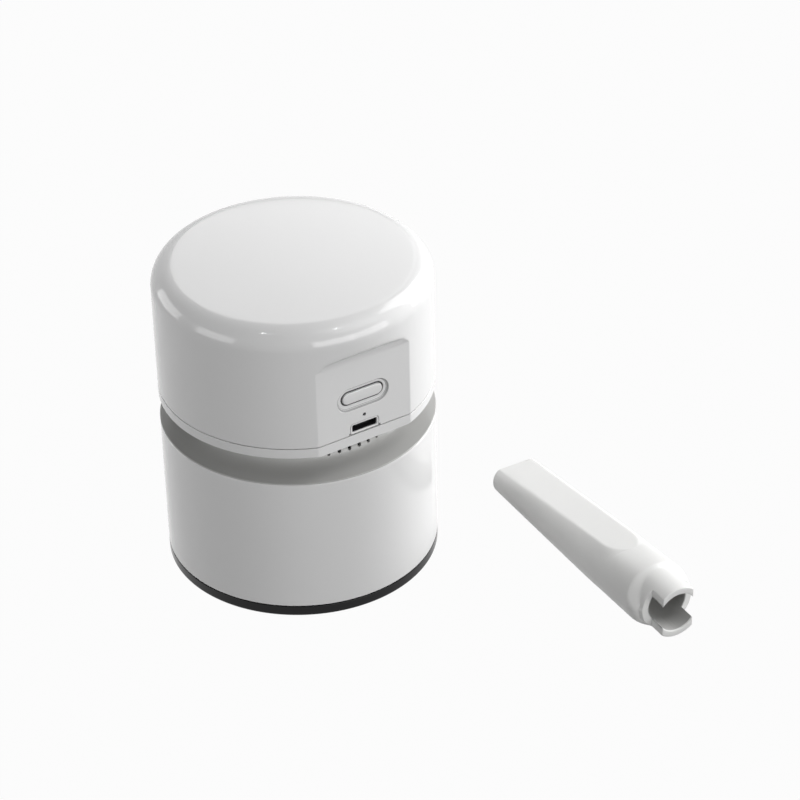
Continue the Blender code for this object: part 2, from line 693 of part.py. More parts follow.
def neck_collar(material, parent):
    spigot_low = RIM - CUP_SPIGOT_DEPTH
    groove_low = RIM - SEAL_DROP - SEAL_HEIGHT - 2 * FIT_GAP
    groove_high = RIM - SEAL_DROP
    groove_radius = CUP_SPIGOT_RADIUS - SEAL_DEPTH - FIT_GAP
    spigot_inner = CUP_SPIGOT_RADIUS - CUP_SPIGOT_WALL
    filter_inner = FILTER_SPIGOT_RADIUS - FILTER_SPIGOT_WALL
    lip_top = RIM + NECK_LIP
    neck_top = PLATE_BOTTOM - FIT_GAP
    profile = [(BODY_RADIUS, RIM), (BODY_RADIUS, lip_top)]
    profile += bezier((BODY_RADIUS - NECK_LIP, lip_top),
                      (BODY_RADIUS - COVE_FLAT_REACH, lip_top + COVE_FLAT_RISE),
                      (NECK_RADIUS, lip_top + COVE_FLAT_RISE),
                      (NECK_RADIUS, lip_top + COVE_FLAT_RISE + COVE_WALL_REACH),
                      ARC_STEPS)
    bead = PLATE_DECK_TOP + FIT_GAP
    spigot_inside = NECK_SPIGOT_RADIUS - NECK_SPIGOT_WALL
    profile += [(NECK_RADIUS, neck_top), (NECK_SPIGOT_RADIUS, neck_top),
                (NECK_SPIGOT_RADIUS, bead - FIT_GAP),
                (NECK_SPIGOT_RADIUS + NECK_BEAD, bead + NECK_BEAD_HEIGHT / 3),
                (NECK_SPIGOT_RADIUS, bead + NECK_BEAD_HEIGHT),
                (spigot_inside, bead + NECK_BEAD_HEIGHT), (spigot_inside, neck_top),
                (NECK_INNER_RADIUS, neck_top - NECK_SPIGOT_WALL),
                (NECK_INNER_RADIUS, WEB_TOP), (INTAKE_RADIUS, WEB_TOP),
                (INTAKE_RADIUS, WEB_BOTTOM), (filter_inner, WEB_BOTTOM),
                (filter_inner, FILTER_RING_BOTTOM),
                (FILTER_SPIGOT_RADIUS, FILTER_RING_BOTTOM),
                (FILTER_SPIGOT_RADIUS, WEB_BOTTOM), (spigot_inner, WEB_BOTTOM),
                (spigot_inner, spigot_low), (CUP_SPIGOT_RADIUS - NECK_LIP, spigot_low),
                (CUP_SPIGOT_RADIUS, spigot_low + NECK_LIP),
                (CUP_SPIGOT_RADIUS, groove_low), (groove_radius, groove_low),
                (groove_radius, groove_high), (CUP_SPIGOT_RADIUS, groove_high),
                (CUP_SPIGOT_RADIUS, RIM)]
    neck = piece("neck_collar", turned(profile, SHELL_SEGMENTS), material, parent)
    cutters = []
    for side in (-pi / 2, pi / 2):
        for i in range(VENT_COUNT):
            cutters.append(vent(side + (i - (VENT_COUNT - 1) / 2) * VENT_PITCH))
    for angle in around(FAN_BOSS_COUNT):
        centre = on_circle(FAN_BOSS_CIRCLE, angle)
        cutters.append(screw_seat(WEB_BOTTOM, FAN_SCREW_LENGTH, centre))
    cut(neck, *cutters)
    return neck


def vent(angle):
    """An upright slot through the neck wall at one angle."""
    low = RIM + VENT_RISE
    high = PLATE_BOTTOM - VENT_TOP_MARGIN
    inner = NECK_INNER_RADIUS - 2 * FIT_GAP
    outer = (NECK_RADIUS + BODY_RADIUS) / 2
    shape = box((inner, -VENT_WIDTH / 2, low), (outer, VENT_WIDTH / 2, high))
    bmesh.ops.rotate(shape, verts=shape.verts, matrix=Matrix.Rotation(angle, 3, "Z"))
    return shape


def cup_seal(material, parent):
    high = RIM - SEAL_DROP - FIT_GAP
    low = high - SEAL_HEIGHT
    inner = CUP_SPIGOT_RADIUS - SEAL_DEPTH
    bulge = SEAL_HEIGHT / 4
    profile = [(inner, low), (CUP_SPIGOT_RADIUS - bulge, low),
               (CUP_SPIGOT_RADIUS, low + bulge), (CUP_SPIGOT_RADIUS, high - bulge),
               (CUP_SPIGOT_RADIUS - bulge, high), (inner, high)]
    return piece("cup_seal", turned(profile, SHELL_SEGMENTS), material, parent)


def in_front(distance, low, high):
    """Everything in front of an upright plane at a distance, between two heights."""
    reach = 2 * BODY_RADIUS
    return box((-reach, -reach, low), (reach, -distance, high))


def head_plate(material, parent):
    opening = NECK_SPIGOT_RADIUS + FIT_GAP
    inner = CUP_INNER_RADIUS
    rounding = PLATE_EDGE_ROUNDING
    profile = [(opening, PLATE_BOTTOM)]
    profile += arc((BODY_RADIUS - rounding, PLATE_BOTTOM + rounding), rounding,
                   -pi / 2, 0.0, ROUNDING_STEPS)
    profile += [(BODY_RADIUS, PLATE_RIM_TOP), (inner, PLATE_RIM_TOP),
                (inner, PLATE_DECK_TOP), (opening, PLATE_DECK_TOP)]
    plate = piece("head_plate", turned(profile, SHELL_SEGMENTS), material, parent)
    sill = box((-PANEL_CHORD, -PANEL_DISTANCE - PANEL_WALL, PLATE_DECK_TOP - PLATE_DECK / 2),
               (PANEL_CHORD, -PANEL_INNER, PLATE_RIM_TOP))
    rib_front = BOARD_BACK - FIT_GAP
    ribs = []
    for side in (-1, 1):
        ends = sorted((side * BOARD_RIB_INSET, side * (BOARD_RIB_INSET + BOARD_RIB_WIDTH)))
        ribs.append(box((ends[0], -rib_front, PLATE_DECK_TOP - PLATE_DECK / 2),
                        (ends[1], -rib_front + BOARD_RIB_THICKNESS,
                         PLATE_DECK_TOP + BOARD_RIB_HEIGHT)))
    join(plate, sill, *ribs)
    seats = [screw_seat(PLATE_BOTTOM, CAP_SCREW_LENGTH, on_circle(CAP_BOSS_CIRCLE, a))
             for a in CAP_BOSS_ANGLES]
    cut(plate, in_front(PANEL_DISTANCE, PLATE_BOTTOM - FIT_GAP, SEAM), *seats)
    return plate


def panel_recess():
    """The wedge cut away in front of the panel, flaring out to the ledge above it."""
    bottom = SEAM - SHELL_WALL
    flare = 2 * (BODY_RADIUS - PANEL_DISTANCE)
    rings = []
    for distance, grow in ((PANEL_DISTANCE, 0.0),
                           (PANEL_DISTANCE + flare, flare * PANEL_LEDGE_SLOPE)):
        half = PANEL_HALF_WIDTH + grow
        top = PANEL_LEDGE + grow
        corner = PANEL_CORNER_RADIUS
        outline = [(half, bottom), *arc((half - corner, top - corner), corner, 0.0, pi / 2),
                   *arc((corner - half, top - corner), corner, pi / 2, pi), (-half, bottom)]
        rings.append([(x, -distance, z) for x, z in outline])
    return loft(rings)


def cap_profile(shrink, crown_steps, edge_steps):
    """Half outline of the cap, moved inward by a wall, from the axis down its side."""
    radius = BODY_RADIUS - shrink
    edge = CAP_EDGE_RADIUS - shrink
    flat = BODY_RADIUS - CAP_EDGE_RADIUS
    top = CAP_TOP - shrink
    shares = [i / crown_steps for i in range(crown_steps)]
    crown = [(flat * s, top + CAP_CROWN * (1.0 - s * s)) for s in shares]
    return crown + arc((flat, CAP_TOP - CAP_EDGE_RADIUS), edge, pi / 2, 0.0, edge_steps)


def top_cap(material, parent):
    outer = cap_profile(0.0, CROWN_STEPS, ARC_STEPS) + [(BODY_RADIUS, SEAM), (0.0, SEAM)]
    cap = piece("top_cap", turned(outer, SHELL_SEGMENTS), material, parent)
    slope = 2 * RECESS_SLOPE
    floor = pill(RECESS_LENGTH - slope, RECESS_HEIGHT - slope)
    mouth = pill(RECESS_LENGTH + slope, RECESS_HEIGHT + slope)
    recess = panel_solid(floor, BUTTON_Z, PANEL_DISTANCE - RECESS_DEPTH,
                         PANEL_DISTANCE + RECESS_DEPTH, mouth)
    cavity = turned(cap_profile(SHELL_WALL, ROUNDING_STEPS, ARC_STEPS)
                    + [(CUP_INNER_RADIUS, SEAM - SHELL_WALL), (0.0, SEAM - SHELL_WALL)],
                    SHELL_SEGMENTS)
    hollow = tool("cap_hollow", [cavity])
    hollow.parent = parent
    hollow.data.transform(Matrix.Translation(-parent.location))
    cut(hollow, in_front(PANEL_INNER, SEAM - 2 * SHELL_WALL, PANEL_LEDGE + PANEL_LEDGE_WALL))
    cut(cap, panel_recess())
    cut(cap, recess)
    modifier = cap.modifiers.new("hollow", "BOOLEAN")
    modifier.operation = "DIFFERENCE"
    modifier.solver = "EXACT"
    modifier.object = hollow
    low = PLATE_DECK_TOP + FIT_GAP
    centres = [on_circle(CAP_BOSS_CIRCLE, a) for a in CAP_BOSS_ANGLES]
    boss_top = CAP_TOP - SHELL_WALL + BOSS_SUNK
    join(cap, *[post(CAP_BOSS_RADIUS, low, boss_top, c) for c in centres])
    opening = pill(BUTTON_LENGTH + 2 * BUTTON_GAP, BUTTON_HEIGHT + 2 * BUTTON_GAP)
    pinhole = round_outline(PINHOLE_RADIUS)
    inside = PANEL_INNER - PANEL_WALL
    outside = BODY_RADIUS + PANEL_WALL
    half = PORT_LENGTH / 2 + BEZEL_BORDER + FIT_GAP
    port_top = PORT_Z + PORT_HEIGHT / 2 + BEZEL_BORDER + FIT_GAP
    cut(cap, panel_solid(opening, BUTTON_Z, inside, outside),
        panel_solid(pinhole, PINHOLE_Z, inside, outside),
        box((-half, -outside, SEAM - SHELL_WALL), (half, -inside, port_top)),
        *[screw_hole(low - FIT_GAP, PLATE_BOTTOM + CAP_SCREW_LENGTH + 2 * FIT_GAP, c)
          for c in centres])
    return cap


def port_bezel(material, parent):
    """Frame round the charging port, with a clip each side behind the panel wall."""
    half = PORT_LENGTH / 2 + BEZEL_BORDER
    top = PORT_Z + PORT_HEIGHT / 2 + BEZEL_BORDER
    shape = box((-half, -PANEL_DISTANCE, SEAM), (half, -PANEL_INNER, top))
    bezel = piece("port_bezel", shape, material, parent)
    clip_back = -PANEL_INNER + FIT_GAP + BEZEL_CLIP_DEPTH
    clips = []
    for side in (-1, 1):
        ends = sorted((side * (SOCKET_LENGTH / 2 + FIT_GAP), side * (half + BEZEL_CLIP)))
        cheek = sorted((side * (SOCKET_LENGTH / 2 + FIT_GAP), side * half))
        clips.append(box((cheek[0], -PANEL_INNER - FIT_GAP, SEAM),
                         (cheek[1], clip_back, top)))
        clips.append(box((ends[0], -PANEL_INNER + FIT_GAP, SEAM), (ends[1], clip_back, top)))
    for clip in clips:
        join(bezel, clip)
    slot = rounded_rectangle(PORT_LENGTH, PORT_HEIGHT, PORT_CORNER)
    cut(bezel, panel_solid(slot, PORT_Z, PANEL_INNER - PANEL_WALL,
                           PANEL_DISTANCE + PANEL_WALL))
    return bezel


def power_button(material, parent):
    """Pill button with a slightly sunk face, a flange behind the wall and a stem."""
    flange = pill(BUTTON_LENGTH + 2 * BUTTON_FLANGE, BUTTON_HEIGHT + 2 * BUTTON_FLANGE)
    body = pill(BUTTON_LENGTH, BUTTON_HEIGHT)
    edge = 2 * BUTTON_GAP
    face = pill(BUTTON_LENGTH - edge, BUTTON_HEIGHT - edge)
    front = PANEL_DISTANCE - BUTTON_SUNK
    rings = [facing_panel(outline, distance, BUTTON_Z) for outline, distance in
             ((flange, BUTTON_FLANGE_BACK), (flange, BUTTON_FLANGE_FRONT),
              (body, BUTTON_FLANGE_FRONT), (body, front - BUTTON_GAP), (face, front))]
    button = piece("power_button", loft(rings), material, parent)
    join(button, panel_solid(round_outline(BUTTON_STEM_RADIUS), BUTTON_Z, STEM_END,
                             BUTTON_FLANGE_FRONT - BUTTON_FLANGE_THICKNESS / 2))
    return button


def circuit_board(material, parent):
    half = BOARD_WIDTH / 2
    shape = box((-half, -BOARD_FRONT, BOARD_BOTTOM),
                (half, -BOARD_BACK, BOARD_BOTTOM + BOARD_HEIGHT))
    board = piece("circuit_board", shape, material, parent)
    chip_top = BOARD_BACK - BOARD_THICKNESS
    chips = []
    for x, rise, size in BOARD_CHIPS:
        z = BOARD_BOTTOM + rise
        chips.append(box((x - size, -BOARD_BACK - BOARD_THICKNESS / 2, z - size / 2),
                         (x + size, -chip_top, z + size / 2)))
    join(board, *chips)
    return board


def tact_switch(material, parent):
    half = SWITCH_SIZE / 2
    shape = box((-half, -SWITCH_FRONT, BUTTON_Z - half), (half, -SWITCH_BACK, BUTTON_Z + half))
    switch = piece("tact_switch", shape, material, parent)
    hole = round_outline(PLUNGER_RADIUS + FIT_GAP)
    cut(switch, panel_solid(hole, BUTTON_Z, SWITCH_BACK - FIT_GAP, SWITCH_FRONT + FIT_GAP))
    return switch


def switch_plunger(material, parent):
    back = SWITCH_BACK + BUTTON_TRAVEL
    shape = panel_solid(round_outline(PLUNGER_RADIUS), BUTTON_Z, back, PLUNGER_FRONT)
    return piece("switch_plunger", shape, material, parent)


def charging_socket(material, parent):
    """Metal shell of the charging socket, with its tongue."""
    front = PANEL_INNER - FIT_GAP
    back = BOARD_FRONT + FIT_GAP
    outer = rounded_rectangle(SOCKET_LENGTH, SOCKET_HEIGHT, PORT_CORNER)
    inner = rounded_rectangle(SOCKET_LENGTH - 2 * SOCKET_WALL,
                              SOCKET_HEIGHT - 2 * SOCKET_WALL, PORT_CORNER / 2)
    socket = piece("charging_socket", panel_solid(outer, PORT_Z, back, front), material,
                   parent)
    cut(socket, panel_solid(inner, PORT_Z, back + SOCKET_WALL, front + FIT_GAP))
    tongue = rounded_rectangle(SOCKET_TONGUE_LENGTH, SOCKET_TONGUE_HEIGHT, PORT_CORNER / 2)
    join(socket, panel_solid(tongue, PORT_Z, back + SOCKET_WALL / 2, front - SOCKET_WALL))
    return socket


def status_light(material, parent):
    front = PANEL_INNER - FIT_GAP
    back = BOARD_FRONT + FIT_GAP
    base = round_outline(LED_RADIUS)
    tip = round_outline(LED_RADIUS / 2)
    rings = [facing_panel(outline, distance, PINHOLE_Z) for outline, distance in
             ((base, back), (base, front - LED_RADIUS), (tip, front))]
    return piece("status_light", loft(rings), material, parent)


def fan_housing(material, parent):
    ring_top = FAN_HOUSING_TOP + SOCKET_RING_HEIGHT
    shaft_hole = MOTOR_BOSS_RADIUS + FIT_GAP
    profile = [(FAN_OUTER_RADIUS, FAN_BOTTOM), (FAN_OUTER_RADIUS, FAN_HOUSING_TOP),
               (SOCKET_RING_OUTER, FAN_HOUSING_TOP), (SOCKET_RING_OUTER, ring_top),
               (SOCKET_RING_INNER, ring_top), (SOCKET_RING_INNER, FAN_HOUSING_TOP),
               (shaft_hole, FAN_HOUSING_TOP), (shaft_hole, FAN_CEILING),
               (FAN_INNER_RADIUS, FAN_CEILING), (FAN_INNER_RADIUS, FAN_BOTTOM)]
    housing = piece("fan_housing", turned(profile, INNER_SEGMENTS), material, parent)
    centres = [on_circle(FAN_BOSS_CIRCLE, a) for a in around(FAN_BOSS_COUNT)]
    boss_top = FAN_HOUSING_TOP - FAN_TOP / 2
    join(housing, *[post(FAN_BOSS_RADIUS, FAN_BOTTOM, boss_top, c) for c in centres])
    tunnel = post(FAN_INNER_RADIUS, FAN_BOTTOM - FIT_GAP, FAN_CEILING, (0.0, 0.0),
                  INNER_SEGMENTS)
    cut(housing, tunnel)
    half = FAN_WINDOW_WIDTH / 2
    near = sqrt(FAN_INNER_RADIUS ** 2 - half ** 2) - FAN_WALL
    windows = []
    for side in (-1, 1):
        ends = sorted((side * near, side * (FAN_OUTER_RADIUS + FAN_WALL)))
        windows.append(box((-half, ends[0], FAN_BOTTOM + FAN_WINDOW_MARGIN),
                           (half, ends[1], FAN_CEILING - FAN_WINDOW_MARGIN)))
    holes = [screw_hole(FAN_BOTTOM - FIT_GAP, WEB_BOTTOM + FAN_SCREW_LENGTH + 2 * FIT_GAP, c)
             for c in centres]
    cut(housing, *windows, *holes)
    return housing


def impeller(material, parent):
    hub_bottom = IMPELLER_BOTTOM + HUB_SHORTER
    profile = [(SHAFT_BORE, hub_bottom), (HUB_RADIUS, hub_bottom),
               (HUB_RADIUS, IMPELLER_DISC_BOTTOM), (FAN_RADIUS, IMPELLER_DISC_BOTTOM),
               (FAN_RADIUS, IMPELLER_TOP), (SHAFT_BORE, IMPELLER_TOP)]
    wheel = piece("impeller", turned(profile, INNER_SEGMENTS), material, parent)
    join(wheel, *[blade(angle) for angle in around(BLADE_COUNT)])
    return wheel


def blade(start):
    """A backward-swept fan blade under the disc."""
    tip = FAN_RADIUS - BLADE_THICKNESS / 2
    spine = []
    for i in range(ARC_STEPS + 1):
        share = i / ARC_STEPS
        radius = BLADE_EYE_RADIUS + (tip - BLADE_EYE_RADIUS) * share
        spine.append(Vector(on_circle(radius, start - BLADE_SWEEP * share)))
    left, right = [], []
    for i, point in enumerate(spine):
        along = (spine[min(i + 1, ARC_STEPS)] - spine[max(i - 1, 0)]).normalized()
        side = Vector((-along.y, along.x)) * BLADE_THICKNESS / 2
        left.append(point + side)
        right.append(point - side)
    outline = left + right[::-1]
    top = IMPELLER_DISC_BOTTOM + IMPELLER_DISC / 2
    return loft([[(p.x, p.y, IMPELLER_BOTTOM) for p in outline],
                 [(p.x, p.y, top) for p in outline]])


def motor_can(material, parent):
    inner = MOTOR_RADIUS - MOTOR_WALL
    boss_low = MOTOR_BOTTOM - MOTOR_BOSS_LENGTH
    profile = [(SHAFT_BORE, boss_low), (MOTOR_BOSS_RADIUS, boss_low),
               (MOTOR_BOSS_RADIUS, MOTOR_BOTTOM), (MOTOR_RADIUS - MOTOR_WALL, MOTOR_BOTTOM),
               (MOTOR_RADIUS, MOTOR_BOTTOM + MOTOR_WALL), (MOTOR_RADIUS, MOTOR_TOP),
               (inner, MOTOR_TOP), (inner, MOTOR_BOTTOM + MOTOR_WALL),
               (SHAFT_BORE, MOTOR_BOTTOM + MOTOR_WALL)]
    return piece("motor_can", turned(profile, INNER_SEGMENTS), material, parent)


def motor_endcap(material, parent):
    spigot = MOTOR_RADIUS - MOTOR_WALL - FIT_GAP
    low = ENDCAP_BOTTOM - ENDCAP_SPIGOT
    bore_top = SHAFT_TOP + FIT_GAP
    profile = [(0.0, bore_top), (SHAFT_BORE, bore_top), (SHAFT_BORE, low), (spigot, low),
               (spigot, ENDCAP_BOTTOM), (MOTOR_RADIUS, ENDCAP_BOTTOM),
               (MOTOR_RADIUS, ENDCAP_TOP - FIT_GAP), (MOTOR_RADIUS - FIT_GAP, ENDCAP_TOP),
               (0.0, ENDCAP_TOP)]
    cap = piece("motor_endcap", turned(profile, INNER_SEGMENTS), material, parent)
    half = TERMINAL_SIZE / 2
    tabs = [box((side * TERMINAL_OFFSET - half, -half, ENDCAP_TOP - ENDCAP_THICKNESS / 2),
                (side * TERMINAL_OFFSET + half, half, ENDCAP_TOP + TERMINAL_HEIGHT))
            for side in (-1, 1)]
    join(cap, *tabs)
    return cap


def motor_magnet(name, side, material, parent):
    """A curved magnet against one side of the can's inside."""
    outer = MOTOR_RADIUS - MOTOR_WALL - FIT_GAP
    inner = outer - MAGNET_THICKNESS
    middle = pi / 2 - side * pi / 2
    start, end = middle - MAGNET_SPAN / 2, middle + MAGNET_SPAN / 2
    outline = (arc((0.0, 0.0), outer, start, end, SMALL_SEGMENTS)
               + arc((0.0, 0.0), inner, end, start, SMALL_SEGMENTS))
    low = MOTOR_BOTTOM + MOTOR_WALL + FIT_GAP
    shape = loft([[(x, y, low) for x, y in outline],
                  [(x, y, low + MAGNET_LENGTH) for x, y in outline]])
    return piece(name, shape, material, parent)


def motor_gasket(material, parent):
    inner = MOTOR_BOSS_RADIUS + FIT_GAP
    top = GASKET_BOTTOM + GASKET_THICKNESS
    outer = MOTOR_RADIUS - FIT_GAP
    profile = [(inner, GASKET_BOTTOM), (outer, GASKET_BOTTOM), (outer, top), (inner, top)]
    return piece("motor_gasket", turned(profile, INNER_SEGMENTS), material, parent)


def armature(material, parent):
    low = MOTOR_BOTTOM + MOTOR_WALL + FIT_GAP + (MAGNET_LENGTH - ARMATURE_LENGTH) / 2
    high = low + ARMATURE_LENGTH
    contact_top = ENDCAP_BOTTOM - ENDCAP_SPIGOT - 2 * FIT_GAP
    profile = [(SHAFT_BORE, low), (ARMATURE_RADIUS, low), (ARMATURE_RADIUS, high),
               (COMMUTATOR_RADIUS, high), (COMMUTATOR_RADIUS, contact_top),
               (SHAFT_BORE, contact_top)]
    return piece("armature", turned(profile, INNER_SEGMENTS // 2), material, parent)


def motor_shaft(material, parent):
    low = IMPELLER_BOTTOM
    profile = [(0.0, low), (SHAFT_RADIUS, low), (SHAFT_RADIUS, SHAFT_TOP), (0.0, SHAFT_TOP)]
    return piece("motor_shaft", turned(profile, SMALL_SEGMENTS), material, parent)


def battery_cell(material, parent):
    half = BATTERY_LENGTH / 2
    radius = BATTERY_RADIUS
    edge = BATTERY_EDGE
    profile = [(0.0, -half), (radius - edge, -half), (radius, edge - half),
               (radius, half - edge), (radius - edge, half), (BATTERY_NUB_RADIUS, half),
               (BATTERY_NUB_RADIUS, half + BATTERY_NUB_LENGTH),
               (0.0, half + BATTERY_NUB_LENGTH)]
    shape = turned(profile, INNER_SEGMENTS // 2)
    turn = Matrix.Rotation(pi / 2, 4, "Y")
    bmesh.ops.transform(shape, verts=shape.verts, matrix=turn)
    bmesh.ops.translate(shape, verts=shape.verts, vec=(0.0, CRADLE_Y, BATTERY_Z))
    return piece("battery_cell", shape, material, parent)


def battery_cradle(material, parent):
    """Trough for the cell, on two legs over the fan housing and two on the deck."""
    hollow = BATTERY_RADIUS + FIT_GAP
    half_width = hollow + CRADLE_WALL
    top = CRADLE_BOTTOM + CRADLE_WALL + CRADLE_DEPTH
    dip = asin((BATTERY_Z - top) / hollow)
    trough = arc((CRADLE_Y, BATTERY_Z), hollow, pi + dip, 2 * pi - dip, SMALL_SEGMENTS)
    outline = [(CRADLE_Y - half_width, top), *trough, (CRADLE_Y + half_width, top),
               (CRADLE_Y + half_width, CRADLE_BOTTOM), (CRADLE_Y - half_width, CRADLE_BOTTOM)]
    half = CRADLE_LENGTH / 2
    shape = loft([[(x, y, z) for y, z in outline] for x in (-half, half)])
    cradle = piece("battery_cradle", shape, material, parent)
    knit = CRADLE_BOTTOM + CRADLE_WALL / 2
    legs = []
    for side in (-1, 1):
        x = side * CRADLE_LEG_OFFSET
        for y, foot_z in ((CRADLE_Y - half_width + CRADLE_LEG / 2, FAN_HOUSING_TOP + FIT_GAP),
                          (CRADLE_Y + half_width - CRADLE_LEG / 2,
                           PLATE_DECK_TOP + FIT_GAP)):
            legs.append(box((x - CRADLE_LEG / 2, y - CRADLE_LEG / 2, foot_z),
                            (x + CRADLE_LEG / 2, y + CRADLE_LEG / 2, knit)))
    join(cradle, *legs)
    return cradle


def battery_route(side):
    """From one end of the cell, between motor and shell, to the board's back."""
    end = BATTERY_LENGTH / 2 + WIRE_RADIUS + FIT_GAP
    if side > 0:
        end += BATTERY_NUB_LENGTH
    lift = BATTERY_Z + WIRE_RADIUS
    lane = (MOTOR_RADIUS + CUP_INNER_RADIUS) / 2
    route = [(side * end, CRADLE_Y + BATTERY_NUB_RADIUS, BATTERY_Z),
             (side * end, CRADLE_Y, BATTERY_Z),
             (side * (end + WIRE_BEND), CRADLE_Y - BATTERY_RADIUS, lift)]
    for angle in WIRE_LANE_ANGLES:
        x, y = on_circle(lane, angle)
        route.append((side * x, y, lift))
    pad = side * (BOARD_WIDTH / 2 - WIRE_PAD_INSET)
    board = -BOARD_BACK + FIT_GAP
    return route + [(pad + side * 2 * WIRE_BEND, board + 3 * WIRE_BEND, lift),
                    (pad, board + WIRE_BEND, lift), (pad, board, lift)]


def motor_route(side):
    """From a terminal on the motor's end cap, over its edge, to the board's back."""
    low = ENDCAP_TOP + TERMINAL_HEIGHT + FIT_GAP
    board = -BOARD_BACK + FIT_GAP
    pad = BOARD_BOTTOM + BOARD_HEIGHT - WIRE_PAD_INSET
    x = side * TERMINAL_OFFSET
    return [(x, 0.0, low), (x, -WIRE_BEND / 2, low + WIRE_BEND),
            (x, -MOTOR_RADIUS / 2, low + 2 * WIRE_BEND),
            (x, -MOTOR_RADIUS - 2 * WIRE_BEND, low),
            (x, -(MOTOR_RADIUS + BOARD_BACK) / 2, (low + pad) / 2),
            (x, board + 3 * WIRE_BEND, pad + WIRE_BEND), (x, board + WIRE_BEND, pad),
            (x, board, pad)]


def smooth_path(points, count):
    """Evenly many points on a smooth curve through the route's own points."""
    route = [Vector(p) for p in points]
    route = [2 * route[0] - route[1], *route, 2 * route[-1] - route[-2]]
    spans = len(route) - 3
    path = []
    for i in range(count):
        place = min(i * spans / (count - 1), spans - 1e-9)
        k = int(place)
        t = place - k
        a, b, c, d = route[k:k + 4]
        path.append(0.5 * (2 * b + (c - a) * t + (2 * a - 5 * b + 4 * c - d) * t ** 2
                           + (3 * b - a - 3 * c + d) * t ** 3))
    return path


def wire(name, route, material, parent):
    """An insulated lead along a smooth path, with closed ends."""
    curve = bpy.data.curves.new(name, "CURVE")
    curve.dimensions = "3D"
    curve.bevel_depth = WIRE_RADIUS
    curve.bevel_resolution = 2
    curve.use_fill_caps = True
    path = smooth_path(route, WIRE_POINTS)
    spline = curve.splines.new("POLY")
    spline.points.add(len(path) - 1)
    for point, place in zip(spline.points, path):
        point.co = (*(place - parent.location), 1.0)
    curve.materials.append(material)
    obj = bpy.data.objects.new(name, curve)
    obj.parent = parent
    bpy.context.scene.collection.objects.link(obj)
    return obj


def filter_cage(material, parent):
    """Ring that grips the neck's spigot, with ribs down to an open floor ring."""
    rib_outer = FILTER_RING_OUTER
    rib_inner = FILTER_RING_INNER
    floor_top = FILTER_BOTTOM + FILTER_CAGE_FLOOR
    profile = [(rib_inner, FILTER_RING_BOTTOM), (rib_outer, FILTER_RING_BOTTOM),
               (rib_outer, FILTER_TOP), (rib_inner, FILTER_TOP)]
    cage = piece("filter_cage", turned(profile, INNER_SEGMENTS), material, parent)
    floor = turned([(FILTER_FLOOR_HOLE, FILTER_BOTTOM), (rib_outer, FILTER_BOTTOM),
                    (rib_outer, floor_top), (FILTER_FLOOR_HOLE, floor_top)], INNER_SEGMENTS)
    ribs = []
    for angle in around(FILTER_RIBS):
        rib = box((rib_inner, -FILTER_RIB_WIDTH / 2, FILTER_BOTTOM + FILTER_CAGE_FLOOR / 2),
                  (rib_outer - FIT_GAP, FILTER_RIB_WIDTH / 2,
                   (FILTER_RING_BOTTOM + FILTER_TOP) / 2))
        bmesh.ops.rotate(rib, verts=rib.verts, matrix=Matrix.Rotation(angle, 3, "Z"))
        ribs.append(rib)
    join(cage, floor)
    join(cage, *ribs)
    return cage


def filter_cloth(material, parent):
    """Pleated filter cup inside the cage, open at the top."""
    outer = FILTER_RING_INNER - FIT_GAP
    low = FILTER_BOTTOM + FILTER_CAGE_FLOOR + FIT_GAP
    high = FILTER_RING_BOTTOM - FIT_GAP
    skin = FILTER_CAGE_FLOOR
    pleats = []
    for i, angle in enumerate(around(2 * FILTER_PLEATS)):
        pleats.append(on_circle(outer - (i % 2) * FILTER_PLEAT_DEPTH, angle))
    bore = [on_circle(FILTER_CLOTH_BORE, a) for a in around(2 * FILTER_PLEATS)]
    rings = [[(x, y, low) for x, y in pleats], [(x, y, high) for x, y in pleats],
             [(x, y, high) for x, y in bore], [(x, y, low + skin) for x, y in bore]]
    return piece("filter_cloth", loft(rings), material, parent)


def between(start, end, share):
    return start + (end - start) * share


def nozzle_size(x):
    """Half width and half height of the nozzle's body at a distance from its mouth."""
    width = between(NOZZLE_MOUTH_HALF_WIDTH, NOZZLE_TAIL_HALF_WIDTH, x / NOZZLE_SHOULDER)
    if x < NOZZLE_TAPER_LENGTH:
        return width, between(NOZZLE_MOUTH_HALF_HEIGHT, NOZZLE_FACET_HALF_HEIGHT,
                              x / NOZZLE_TAPER_LENGTH)
    past = (x - NOZZLE_TAPER_LENGTH) / (NOZZLE_SHOULDER - NOZZLE_TAPER_LENGTH)
    return width, between(NOZZLE_FACET_HALF_HEIGHT, NOZZLE_TAIL_HALF_HEIGHT, past)


def nozzle_facet(x):
    """Half width of the flat facet, constant up to its rounded end."""
    past = (x - (NOZZLE_TAPER_LENGTH - NOZZLE_FACET_END)) / NOZZLE_FACET_END
    past = min(max(past, 0.0), 1.0)
    return max(NOZZLE_FACET_HALF_WIDTH * sqrt(1.0 - past * past), NOZZLE_FACET_TIP)


def oval_ring(x, width, height, axis, facet=NOZZLE_FACET_TIP, taper=1.0):
    """Section with a facet above and below. Its sides go from full half ellipses at
    the mouth to an ellipse that the facets cut off at the end of the taper."""
    cut_angle = acos(facet / width)
    crown = height / sin(cut_angle)
    ring = []
    for side in (1, -1):
        for i in range(NOZZLE_SIDE_STEPS + 1):
            share = side * (1.0 - 2.0 * i / NOZZLE_SIDE_STEPS)
            full, cut_off = pi / 2 * share, cut_angle * share
            y = between(facet + (width - facet) * cos(full), width * cos(cut_off), taper)
            z = between(height * sin(full), crown * sin(cut_off), taper)
            ring.append((x, side * y, axis + z))
    return ring


def nozzle_ring(x, wall=0.0):
    width, height = nozzle_size(x)
    facet = min(nozzle_facet(x), width - 2 * wall)
    taper = min(x / NOZZLE_TAPER_LENGTH, 1.0)
    return oval_ring(x, width - wall, height - wall, height, facet, taper)


